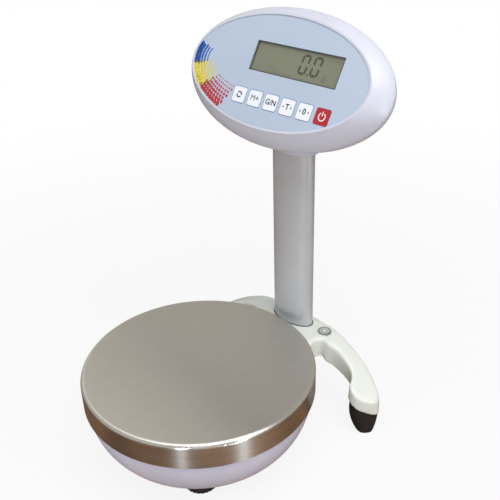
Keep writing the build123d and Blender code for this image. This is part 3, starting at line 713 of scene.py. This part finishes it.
# ---- sub-assemblies -------------------------------------------------------------------------
@dataclass
class CastBracket:
    """Rear casting with two arms, softened as a powder-coated casting is, and its rubber boots."""

    voxel: float = 1.1 * MM
    passes: int = 34
    step: float = 0.6                       # share of the way to the neighbours' mean in a pass
    socket_gap: float = 2.6 * MM            # kept sharp this far round the column
    level_gap: float = 2.2 * MM             # kept sharp this far round the level
    bowl_gap: float = 3.0 * MM              # kept sharp this far outside the bowl
    tongue: tuple[float, float] = (34 * MM, 8 * MM)     # half width, and drop below the column's foot
    rise: tuple[float, float] = (3 * MM, 5 * MM)        # start above the underside, and run-in
    # Dark ring round the column's foot: a painted shadow of the gap between column and casting.
    shadow_ring_gap: float = 0.05 * MM
    shadow_ring_width: float = 0.75 * MM
    shadow_ring_height: float = 0.25 * MM
    shadow_ring_points: int = 96
    boot_voxel: float = 0.8 * MM
    boot_passes: int = 12
    boot_rise: tuple[float, float] = (20 * MM, 8 * MM)  # start below the boot's top, and run-in
    # Underside of an arm: millimetres from the middle and above the floor.
    underside: tuple[tuple[float, float], ...] = ((46, 59.5), (78, 48.2), (100, 41), (112, 34), (130, 23.5))

    def softened(self, node: str, voxel: float, passes: int,
                 weight: Callable[[np.ndarray], np.ndarray]) -> bpy.types.Mesh:
        """Copy a CAD node's shape and round its edges.

        Args:
            node: the CAD node.
            voxel: grid size of the copy.
            passes: how many smoothing passes.
            weight: gives each point's share of the smoothing, from its place.

        Returns:
            The softened mesh.
        """
        shape = bmesh.new()
        shape.from_mesh(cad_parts[node].data)
        bmesh.ops.remove_doubles(shape, verts=shape.verts, dist=CAD_WELD)
        source = bpy.data.meshes.new(node + "_source")
        shape.to_mesh(source)
        shape.free()
        holder = bpy.data.objects.new(node + "_copy", source)
        remesh = holder.modifiers.new("grid", "REMESH")
        remesh.mode = "VOXEL"
        remesh.voxel_size = voxel
        mesh = plain_mesh(holder)
        points = np.zeros(len(mesh.vertices) * 3)
        mesh.vertices.foreach_get("co", points)
        points = points.reshape(-1, 3)
        edges = np.zeros(len(mesh.edges) * 2, dtype=np.int64)
        mesh.edges.foreach_get("vertices", edges)
        edges = edges.reshape(-1, 2)
        share = weight(points)[:, None]
        degree = np.bincount(edges.ravel(), minlength=len(points))[:, None]
        for _ in range(passes):
            total = np.zeros_like(points)
            np.add.at(total, edges[:, 0], points[edges[:, 1]])
            np.add.at(total, edges[:, 1], points[edges[:, 0]])
            points = points + self.step * share * (total / degree - points)
        mesh.vertices.foreach_set("co", points.ravel())
        mesh.polygons.foreach_set("use_smooth", [True] * len(mesh.polygons))
        return mesh

    def casting_weight(self, points: np.ndarray) -> np.ndarray:
        """Smooth all but the socket, the level's pocket, the tongue, the underside and the edge by the bowl.

        Args:
            points: places of the points.

        Returns:
            Each point's share of the smoothing, 0 to 1.
        """
        x, y, z = points.T
        middle, half = centre("column"), half_size("column")
        foot = middle.z - half.z
        keep = np.hypot((x - middle.x) / (half.x + self.socket_gap),
                        (y - middle.y) / (half.y + self.socket_gap)) < 1.0
        middle, half = centre("level_cup"), half_size("level_cup")
        keep |= np.hypot(x - middle.x, y - middle.y) < half.x + self.level_gap
        middle, half = centre("base_housing"), half_size("base_housing")
        keep |= np.hypot(x, y - middle.y) < half.x + self.bowl_gap
        keep |= (z < foot - self.tongue[1]) & (np.abs(x) < self.tongue[0])
        under = np.interp(np.abs(x), *(np.array(self.underside) * MM).T)
        above = np.clip((z - under - self.rise[0]) / self.rise[1], 0.0, 1.0)
        return np.where(keep, 0.0, above)

    def build(self, paint: Paint) -> None:
        """Make the casting, a dark ring painted round the column's foot as the shadow of the gap, and the
        boots.

        Args:
            paint: every finish, by name.
        """
        mesh = self.softened("rear_bracket", self.voxel, self.passes, self.casting_weight)
        casting = new_piece("cast_bracket", mesh, paint["powder_coat_white"])
        settle(casting, "frame", "cast_white", "rear_bracket")
        # Dark ring round the column's foot: painted shadow of the gap between column and casting.
        middle, half = centre("column"), half_size("column")
        turns = [2 * pi * i / self.shadow_ring_points for i in range(self.shadow_ring_points)]
        outer, inner = ([((half.x + gap) * cos(turn), (half.y + gap) * sin(turn)) for turn in turns]
                        for gap in (self.shadow_ring_width, self.shadow_ring_gap))
        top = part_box("rear_bracket")[1].z
        shadow_ring = moved(band(outer, inner, top - self.shadow_ring_height, top + self.shadow_ring_height), middle.x, middle.y)
        settle(new_piece("socket_shadow_ring", shadow_ring, paint["nylon_black_and_shadow"]), "frame", "dark_plastic")
        for side in ("left", "right"):
            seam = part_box(f"{side}_boot")[1].z

            def weight(points: np.ndarray) -> np.ndarray:
                """Round the lower edges only."""
                return np.clip((seam - self.boot_rise[0] - points[:, 2]) / self.boot_rise[1], 0.0, 1.0)

            mesh = self.softened(f"{side}_boot", self.boot_voxel, self.boot_passes, weight)
            boot = new_piece(f"{side}_rubber_boot", mesh, paint["rubber_brown_black"])
            settle(boot, "frame", "black_rubber", f"{side}_boot")


@dataclass
class SpiritLevel:
    """Bull's-eye level in the bracket: ring, fluid, bubble and centre mark."""

    bubble_radius: float = 1.7 * MM
    bubble_height: float = 0.35 * MM
    round_steps: int = 48
    rise_steps: int = 6
    mark_radius: float = 2.9 * MM
    mark_width: float = 0.35 * MM
    bubble_shift: tuple[float, float] = (-0.3 * MM, 0.2 * MM)

    def build(self, paint: Paint) -> None:
        """Dress the cup and add the bubble and the mark.

        Args:
            paint: every finish, by name.
        """
        dress("level_cup", paint["level_ring_sage"])
        dress("level_lens", paint["level_fluid"])
        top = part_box("level_lens")[1].z
        spot = centre("level_lens")
        count, levels = self.round_steps, self.rise_steps
        circle = [(cos(2 * pi * i / count), sin(2 * pi * i / count)) for i in range(count)]
        outer, inner = ([(r * x, r * y) for x, y in circle]
                        for r in (self.mark_radius, self.mark_radius - self.mark_width))
        mark = moved(band(outer, inner, top, top + INK), spot.x, spot.y)
        settle(new_piece("level_mark", mark, paint["ink_slate"]), "frame", "level_ring")
        points = []
        for ring in range(levels):
            rise = ring / levels * pi / 2
            radius = self.bubble_radius * cos(rise)
            points += [(radius * x, radius * y, self.bubble_height * sin(rise)) for x, y in circle]
        faces: list[Iterable[int]] = [range(count), range((levels - 1) * count, levels * count)]
        for first in range(0, (levels - 1) * count, count):
            faces += [(first + i, first + (i + 1) % count, first + count + (i + 1) % count,
                       first + count + i) for i in range(count)]
        bubble = mesh_from("level_bubble", points, faces, smooth=True)
        spot += Vector((*self.bubble_shift, 0))
        bubble.transform(Matrix.Translation((spot.x, spot.y, top)))
        settle(new_piece("level_bubble", bubble, paint["level_bubble"]), "frame", "level_clear")


@dataclass(frozen=True)
class MarkRow:
    """Row of small bars on the display glass; start, step and up are shares of the window."""

    count: int
    width: float
    height: float
    corner: float
    start: float
    step: float
    up: float


@dataclass(frozen=True)
class DotPatch:
    """Patch of accent dots: its ends on the oval edge in degrees, and its rows."""

    ink: str
    start: float
    end: float
    rows: int


@dataclass
class DisplayHead:
    """Display head: shells, printed overlay, liquid crystal window and key legends."""

    tilt: float = radians(31)
    overlay_thickness: float = 0.5 * MM
    digit_height: float = 18.6 * MM
    digit_width: float = 9.6 * MM
    digit_stroke: float = 2.3 * MM
    digit_slant: float = 0.1
    segment_gap: float = 0.35                           # share of half a stroke
    digit_places: tuple[float, float] = (0.09, 0.225)   # shares of the window's width
    digit_rise: float = 1.2 * MM
    point_place: float = 0.155                          # share of the window's width
    point_size: float = 1.7 * MM
    point_corner: float = 0.4 * MM
    point_rise: float = 0.9 * MM
    window_height: float = 26.97 * MM
    gram_height: float = 7.0 * MM
    gram_place: tuple[float, float] = (0.34, -0.2)      # shares of the window
    marks: tuple[MarkRow, ...] = (
        MarkRow(count=3, width=2.6 * MM, height=1.1 * MM, corner=0.3 * MM, start=0.38, step=0.035, up=0.33),
        MarkRow(count=4, width=3.4 * MM, height=0.8 * MM, corner=0.2 * MM, start=-0.2, step=0.055, up=-0.42))
    # Dark band round the display window, a painted shadow of its recessed rim: width, slack and corners.
    shadow_line: float = 0.55 * MM
    shadow_line_slack: float = 0.02 * MM
    shadow_line_corners: tuple[float, float] = (0.4 * MM, 0.35 * MM)
    arrow_half: float = 1.2 * MM
    arrow_reach: float = 1.6 * MM
    arrow_place: float = 5.2 * MM
    cycle_radius: float = 2.6 * MM
    cycle_width: float = 1.1 * MM
    cycle_arc: tuple[float, float] = (25, 150)          # degrees
    cycle_tip_turn: float = 22                          # degrees
    cycle_tip: tuple[float, float, float] = (1.2 * MM, 0.35 * MM, 1.7 * MM)     # half, back and reach
    power_radius: float = 3.5 * MM
    power_line: float = 0.95 * MM
    power_arc: tuple[float, float] = (-235, 55)         # degrees
    power_stem: float = 4.2 * MM
    power_corner: float = 0.4 * MM
    power_rise: float = 2.6 * MM
    letter_heights: tuple[float, float, float] = (5.6 * MM, 5.2 * MM, 5.4 * MM)   # M+, G/N, single
    key_ratio: float = 0.935                            # height over width of a key
    outline_sizes: tuple[float, float] = (1.5 * MM, 0.5 * MM)       # outer and inner, past the key
    outline_corners: tuple[float, float] = (2.5 * MM, 2.1 * MM)
    dot_columns: int = 9
    dot_inset: float = 2.2 * MM
    dot_row_gap: float = 3.9 * MM
    dot_radius: float = 2.3 * MM
    patches: tuple[DotPatch, ...] = (DotPatch("ink_blue", 167, 188, 5), DotPatch("ink_yellow", 189, 214, 7),
                                     DotPatch("ink_red", 215, 238, 7))

    def __post_init__(self) -> None:
        """Work out the face's axes from the overlay."""
        self.normal = Vector((0, -cos(self.tilt), sin(self.tilt)))
        self.up = Vector((0, sin(self.tilt), cos(self.tilt)))
        self.middle = centre("face_panel") + self.normal * self.overlay_thickness / 2
        half = half_size("face_panel")
        self.half_width = half.x
        self.half_height = (half.z - self.overlay_thickness * sin(self.tilt) / 2) / cos(self.tilt)
        side = Vector((1, 0, 0))
        turn = Matrix((side, self.up, self.normal)).transposed().to_4x4()
        self.matrix = Matrix.Translation(self.middle) @ turn

    def on_face(self, node: str) -> tuple[float, float, float]:
        """Place of a node on the face.

        Args:
            node: the CAD node.

        Returns:
            Its middle across and up, and its front above the overlay.
        """
        offset = centre(node) - self.middle
        points = np.array([v.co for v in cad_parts[node].data.vertices])
        front = ((points - np.array(self.middle)) @ np.array(self.normal)).max()
        return offset.x, offset.dot(self.up), float(front)

    def place(self, name: str, meshes: list[bpy.types.Mesh], ink: bpy.types.Material, body: str,
              slot: str) -> None:
        """Join flat shapes, lay them on the face and settle them.

        Args:
            name: the piece's name.
            meshes: the shapes, about the middle of the face.
            ink: the finish.
            body: the body that carries them.
            slot: the colour slot.
        """
        mesh = joined(name, meshes)
        mesh.transform(self.matrix)
        settle(new_piece(name, mesh, ink), body, slot)

    def segments(self, on: str, x: float, y: float, low: float) -> list[bpy.types.Mesh]:
        """Seven-segment digit.

        Args:
            on: letters of the driven segments, a to g.
            x: middle across.
            y: middle up.
            low: height of the glass.

        Returns:
            One slab for each segment.
        """
        w, h, t = self.digit_width / 2, self.digit_height / 2, self.digit_stroke / 2
        gap = t * self.segment_gap
        bars = {"a": (0, h - t, True), "g": (0, 0, True), "d": (0, t - h, True), "b": (w - t, h / 2, False),
                "c": (w - t, -h / 2, False), "e": (t - w, -h / 2, False), "f": (t - w, h / 2, False)}
        made = []
        for letter in on:
            cx, cy, flat = bars[letter]
            half = (w - t if flat else h / 2 - t / 2) - gap
            corners = [(-half, 0), (-half + t, t), (half - t, t), (half, 0), (half - t, -t), (-half + t, -t)]
            if not flat:
                corners = [(-b, a) for a, b in corners]
            outline = [(x + cx + a + (cy + b) * self.digit_slant, y + cy + b) for a, b in corners]
            made.append(slab(outline, low, low + INK))
        return made

    def window(self, paint: Paint) -> None:
        """Digits and small marks on the display glass, and a dark line painted round it as the shadow of its
        recess.

        Args:
            paint: every finish, by name.
        """
        u, v, glass = self.on_face("lcd_glass")
        width, height = 2 * half_size("lcd_glass").x, self.window_height
        middle = v + self.digit_rise
        digits = []
        for share in self.digit_places:
            digits += self.segments("abcdef", u + width * share, middle, glass)
        dot = rounded_rectangle(self.point_size, self.point_size, self.point_corner)
        digits.append(moved(slab(dot, glass, glass + INK), u + width * self.point_place,
                            middle - self.digit_height / 2 + self.point_rise))
        self.place("lcd_digits", digits, paint["lcd_segment_grey"], "frame", "lcd_glass")
        faint = [moved(lettering("g", self.gram_height, glass, glass + INK),
                       u + width * self.gram_place[0], v + height * self.gram_place[1])]
        for row in self.marks:
            for index in range(row.count):
                bar = slab(rounded_rectangle(row.width, row.height, row.corner), glass, glass + INK)
                faint.append(moved(bar, u + width * (row.start + row.step * index), v + height * row.up))
        self.place("lcd_marks", faint, paint["lcd_segment_faint"], "frame", "lcd_glass")
        # Dark band on the overlay round the window: painted shadow of the recess rim.
        tall = height + self.shadow_line_slack
        outer = rounded_rectangle(width + 2 * self.shadow_line, tall + 2 * self.shadow_line, self.shadow_line_corners[0])
        inner = rounded_rectangle(width, tall, self.shadow_line_corners[1])
        self.place("window_shadow_line", [moved(band(outer, inner, 0, INK), u, v)], paint["ink_slate"], "frame",
                   "overlay")

    def arrow(self, x: float, low: float, high: float, sign: int) -> bpy.types.Mesh:
        """Small solid arrow head at x that points along sign."""
        half = self.arrow_half
        return moved(slab([(0, -half), (sign * self.arrow_reach, 0), (0, half)], low, high), x, 0)

    def legend(self, key: str, low: float) -> list[bpy.types.Mesh]:
        """Flat shapes of one key's legend.

        Args:
            key: the key's name.
            low: height of the key's face.

        Returns:
            The shapes about the key's middle.
        """
        high = low + INK
        pair, ratio, single = self.letter_heights
        if key == "unit":
            shapes = []
            half, back, reach = self.cycle_tip
            start, end = self.cycle_arc
            for turn in (0, 180):
                shapes.append(arc_band(self.cycle_radius, self.cycle_width, start + turn, end + turn,
                                       low, high))
                angle = radians(self.cycle_tip_turn + turn)
                tip = slab([(-half, back), (half, back), (0, -reach)], low, high)
                tip.transform(Matrix.Rotation(angle, 4, "Z"))
                shapes.append(moved(tip, self.cycle_radius * cos(angle), self.cycle_radius * sin(angle)))
            return shapes
        if key == "power":
            stem = slab(rounded_rectangle(self.power_line, self.power_stem, self.power_corner), low, high)
            ring = arc_band(self.power_radius, self.power_line, *self.power_arc, low, high)
            return [ring, moved(stem, 0, self.power_rise)]
        if key in ("tare", "zero"):
            return [lettering("T" if key == "tare" else "0", single, low, high),
                    self.arrow(-self.arrow_place, low, high, 1), self.arrow(self.arrow_place, low, high, -1)]
        if key == "memory":
            return [lettering("M+", pair, low, high, weight=0.0)]
        return [lettering("G/N", ratio, low, high)]

    def keys(self, paint: Paint) -> None:
        """Dress the keys, and print their outlines and legends.

        Args:
            paint: every finish, by name.
        """
        for key in ("unit", "memory", "gross_net", "tare", "zero", "power"):
            red = key == "power"
            dress(f"key_{key}", paint["key_film_red" if red else "key_film_white"])
            u, v, front = self.on_face(f"key_{key}")
            width = 2 * half_size(f"key_{key}").x
            height = width * self.key_ratio
            shapes = [moved(shape, u, v) for shape in self.legend(key, front)]
            ink = paint["ink_white" if red else "ink_slate"]
            self.place(f"legend_{key}", shapes, ink, f"button_{key}", "key_red" if red else "key_white")
            if red:
                continue
            outer, inner = (rounded_rectangle(width + grow, height + grow, corner)
                            for grow, corner in zip(self.outline_sizes, self.outline_corners))
            self.place(f"outline_{key}", [moved(band(outer, inner, 0, INK), u, v)], paint["ink_key_blue"],
                       "frame", "overlay")

    def accent(self, paint: Paint) -> None:
        """Three inks of plain fading dots along the left edge of the overlay.

        Args:
            paint: every finish, by name.
        """
        reach = self.half_width - self.dot_inset, self.half_height - self.dot_inset
        for seed, patch in enumerate(self.patches):
            step = radians(patch.end - patch.start) / (self.dot_columns - 1)
            mesh = fading_dots(f"dots_{patch.ink}", patch.rows, self.dot_columns, radians(patch.start), step,
                               reach, self.dot_row_gap, self.dot_radius, seed, paint[patch.ink])
            mesh.transform(self.matrix @ Matrix.Translation((0, 0, INK / 2)))
            settle(new_piece(f"accent_{patch.ink}", mesh, paint[patch.ink]), "frame", "overlay")

    def build(self, paint: Paint) -> None:
        """Dress the head and print the face.

        Args:
            paint: every finish, by name.
        """
        for node in ("front_bezel", "rear_shell"):
            dress(node, paint["abs_lavender_white"])
        dress("face_panel", paint["polyester_overlay"])
        dress("lcd_frame", paint["nylon_black_and_shadow"])
        dress("lcd_glass", paint["lcd_cell_olive"])
        self.window(paint)
        self.keys(paint)
        self.accent(paint)


@dataclass
class BowlBase:
    """Bowl base with its pan, its front feet and the mechanism inside."""

    ribs: int = 30
    rib_size: tuple[float, float, float] = (0.7 * MM, 1.3 * MM, 2.6 * MM)   # out, along the rim, up
    rib_rise: float = 1.5 * MM                                              # middle above the pad

    def feet(self, paint: Paint) -> None:
        """Grip ribs round each levelling wheel.

        Args:
            paint: every finish, by name.
        """
        for side in ("left", "right"):
            pad, half = centre(f"{side}_foot_pad"), half_size(f"{side}_foot_pad")
            mesh = ring_of_ribs(f"{side}_foot_ribs", self.ribs, half.x, self.rib_size, paint["nylon_black_and_shadow"])
            mesh.transform(Matrix.Translation((pad.x, pad.y, pad.z + half.z + self.rib_rise)))
            settle(new_piece(f"{side}_foot_ribs", mesh, paint["nylon_black_and_shadow"]), f"{side}_foot", "dark_plastic")
            dress(f"{side}_foot_wheel", paint["nylon_black_and_shadow"])
            dress(f"{side}_foot_pad", paint["rubber_brown_black"])

    def build(self, paint: Paint) -> None:
        """Dress the pan, the shells and the inner parts.

        Args:
            paint: every finish, by name.
        """
        by_finish = {
            "brushed_stainless": ("weighing_pan",),
            "abs_base_white": ("base_housing", "battery_door"),
            "polystyrene_grey": ("housing_lid",),
            "battery_grey": ("battery",),
            "nylon_black_and_shadow": ("dc_jack", "key_switches", "board_parts", "buzzer"),
            "rubber_brown_black": ("pan_pads",),
            "cable_jacket": ("signal_cable",),
            "solder_mask_green": ("main_board",),
            "cast_aluminium": ("platform_spider",),
            "machined_aluminium": ("load_cell", "chassis_pillars"),
            "zinc_plated_steel": ("cell_upper_spacer", "cell_lower_spacer", "spider_screws",
                                  "cell_base_screws", "stop_studs", "chassis_plate", "base_screws",
                                  "lid_screws", "dc_jack_pin", "bracket_screws", "column_screws",
                                  "head_screws", "neck_screws", "board_screws"),
            "silver_satin_paint": ("column",),
        }
        for finish, nodes in by_finish.items():
            for node in nodes:
                dress(node, paint[finish])
        self.feet(paint)


# ---- studio ---------------------------------------------------------------------------------
class Reach(Enum):
    """What a light acts on."""

    ALL = "every surface"
    MATT = "soft light only, with no mirror image"
    SHINE = "mirror image only"


@dataclass(frozen=True)
class SoftLight:
    """Rectangular light aimed at the object.

    It stands turn degrees to the right of the camera and lift degrees above the floor. Its distance
    and size are in metres.
    """

    name: str
    turn: float
    lift: float
    distance: float
    size: tuple[float, float]
    watts: float
    reach: Reach = Reach.ALL


@dataclass
class Studio:
    """Pale floor, soft lights and the camera."""

    floor_size: float = 12.0
    floor_fade: tuple[float, float] = (0.25, 1.1)   # metres from the middle to where all is white
    floor_glow: float = 0.87                        # share of plain white at the middle
    patch_scale: float = 7.0                        # patches of the mirrored floor in a metre
    patch_levels: tuple[float, float] = (0.38, 0.6)
    patch_colours: tuple[str, str] = ("#62452E", "#9E7048")
    room_strength: float = 0.4
    mirrored_strength: float = 0.85
    camera_place: tuple[float, float, float] = (0.4549, -0.3986, 0.5512)
    heading: float = 45.34
    pitch: float = 29.2
    roll: float = -1.77
    lens: float = 53.65                             # millimetres
    sensor: float = 36.0                            # millimetres
    nearest: float = 0.01                           # metres
    daylight: tuple[float, float, float] = (0.82, 0.94, 1.0)    # tint of the two windows
    aim: tuple[float, float, float] = (0, 0, 0.15)
    lights: tuple[SoftLight, ...] = (
        SoftLight("overhead_softbox", turn=28, lift=72, distance=1.6, size=(1.2, 1.2), watts=18),
        SoftLight("right_softbox", turn=55, lift=40, distance=1.5, size=(0.5, 1.0), watts=3),
        SoftLight("front_fill", turn=10, lift=42, distance=1.6, size=(0.9, 0.9), watts=2.5, reach=Reach.MATT),
        SoftLight("low_fill", turn=8, lift=3, distance=1.5, size=(0.9, 0.2), watts=4.6, reach=Reach.MATT),
        SoftLight("left_fill", turn=-80, lift=2, distance=1.5, size=(0.8, 0.2), watts=5, reach=Reach.MATT),
        SoftLight("narrow_window", turn=-14, lift=4, distance=1.5, size=(0.06, 0.45), watts=5.5,
                  reach=Reach.SHINE),
        SoftLight("wide_window", turn=35, lift=4, distance=1.5, size=(0.17, 0.45), watts=8,
                  reach=Reach.SHINE))

    def floor(self) -> None:
        """Lay the floor: pale to the eye, warm and patchy where the steel mirrors it."""
        half = self.floor_size / 2
        mesh = bpy.data.meshes.new("floor")
        mesh.from_pydata([(-half, -half, 0), (half, -half, 0), (half, half, 0), (-half, half, 0)], [],
                         [(0, 1, 2, 3)])
        material = blank_material("matt_studio_floor")
        tree = material.node_tree
        path = add_node(tree, "ShaderNodeLightPath")
        pale = add_node(tree, "ShaderNodeBsdfPrincipled",
                        {"Base Color": linear("#E0E0E0"), "Roughness": 0.95, "Specular IOR Level": 0.1})
        glow = add_node(tree, "ShaderNodeEmission", {"Color": linear("#FFFFFF"), "Strength": 1.0})
        place = add_node(tree, "ShaderNodeTexCoord").outputs["Object"]
        away = add_node(tree, "ShaderNodeVectorMath", None, {0: place}, operation="LENGTH").outputs["Value"]
        fade = add_node(tree, "ShaderNodeMapRange",
                        {"From Min": self.floor_fade[0], "From Max": self.floor_fade[1],
                         "To Min": self.floor_glow},
                        {"Value": away}, interpolation_type="SMOOTHSTEP").outputs["Result"]
        seen = add_node(tree, "ShaderNodeMixShader", None, {0: fade, 1: pale.outputs[0], 2: glow.outputs[0]})
        cloud = add_node(tree, "ShaderNodeTexNoise", {"Scale": self.patch_scale, "Detail": 2.0},
                         {"Vector": place})
        patches = add_node(tree, "ShaderNodeValToRGB", None, {"Fac": cloud.outputs["Fac"]})
        for stop, level, colour in zip(patches.color_ramp.elements, self.patch_levels, self.patch_colours):
            stop.position = level
            stop.color = linear(colour)
        warm = add_node(tree, "ShaderNodeBsdfDiffuse", None, {"Color": patches.outputs["Color"]})
        bounce = add_node(tree, "ShaderNodeBsdfDiffuse", {"Color": linear("#A79C94")})
        lit = add_node(tree, "ShaderNodeMixShader", None,
                       {0: path.outputs["Is Glossy Ray"], 1: bounce.outputs[0], 2: warm.outputs[0]})
        mixed = add_node(tree, "ShaderNodeMixShader", None,
                         {0: path.outputs["Is Camera Ray"], 1: lit.outputs[0], 2: seen.outputs[0]})
        add_node(tree, "ShaderNodeOutputMaterial", None, {"Surface": mixed.outputs[0]})
        new_piece("studio_floor", mesh, material)

    def surroundings(self) -> None:
        """Grey room for light, a brighter one for reflections, and white where the camera sees it."""
        world = bpy.data.worlds.new("studio_world")
        world.use_nodes = True
        tree = world.node_tree
        tree.nodes.clear()
        path = add_node(tree, "ShaderNodeLightPath")
        room = add_node(tree, "ShaderNodeBackground",
                        {"Color": linear("#D8D8E0"), "Strength": self.room_strength})
        mirrored = add_node(tree, "ShaderNodeBackground",
                            {"Color": linear("#DCD8D0"), "Strength": self.mirrored_strength})
        white = add_node(tree, "ShaderNodeBackground", {"Color": linear("#FFFFFF"), "Strength": 1.0})
        inner = add_node(tree, "ShaderNodeMixShader", None,
                         {0: path.outputs["Is Glossy Ray"], 1: room.outputs[0], 2: mirrored.outputs[0]})
        mixed = add_node(tree, "ShaderNodeMixShader", None,
                         {0: path.outputs["Is Camera Ray"], 1: inner.outputs[0], 2: white.outputs[0]})
        add_node(tree, "ShaderNodeOutputWorld", None, {"Surface": mixed.outputs[0]})
        bpy.context.scene.world = world

    def place_light(self, light: SoftLight) -> None:
        """Place one light and aim it at the object.

        Args:
            light: the light's settings.
        """
        lamp = bpy.data.lights.new(light.name, "AREA")
        lamp.shape = "RECTANGLE"
        lamp.size, lamp.size_y = light.size
        lamp.energy = light.watts
        if light.reach is Reach.SHINE:
            lamp.color = self.daylight
        target = Vector(self.aim)
        turn, lift = radians(self.heading - 90 + light.turn), radians(light.lift)
        spot = target + light.distance * Vector((cos(turn) * cos(lift), sin(turn) * cos(lift), sin(lift)))
        holder = bpy.data.objects.new(light.name, lamp)
        facing = (target - spot).to_track_quat("-Z", "Y").to_matrix().to_4x4()
        holder.matrix_world = Matrix.Translation(spot) @ facing
        holder.visible_camera = False
        holder.visible_diffuse = light.reach is not Reach.SHINE
        holder.visible_glossy = light.reach is not Reach.MATT
        bpy.context.scene.collection.objects.link(holder)

    def camera(self) -> None:
        """Place the camera."""
        data = bpy.data.cameras.new("camera")
        data.lens = self.lens
        data.sensor_width = self.sensor
        data.clip_start = self.nearest
        holder = bpy.data.objects.new("camera", data)
        turn = (Matrix.Rotation(radians(self.heading), 4, "Z")
                @ Matrix.Rotation(radians(90 - self.pitch), 4, "X")
                @ Matrix.Rotation(radians(self.roll), 4, "Z"))
        holder.matrix_world = Matrix.Translation(self.camera_place) @ turn
        bpy.context.scene.collection.objects.link(holder)
        bpy.context.scene.camera = holder

    def build(self) -> None:
        """Set the whole studio."""
        self.camera()
        self.floor()
        self.surroundings()
        for light in self.lights:
            self.place_light(light)
        bpy.context.scene.view_settings.view_transform = "Standard"


def main() -> None:
    """Build the studio and every sub-assembly."""
    logging.basicConfig(level=logging.INFO, format="%(name)s: %(message)s")
    Studio().build()
    paint = finishes()
    BowlBase().build(paint)
    CastBracket().build(paint)
    SpiritLevel().build(paint)
    DisplayHead().build(paint)


if __name__ == "__main__":
    main()
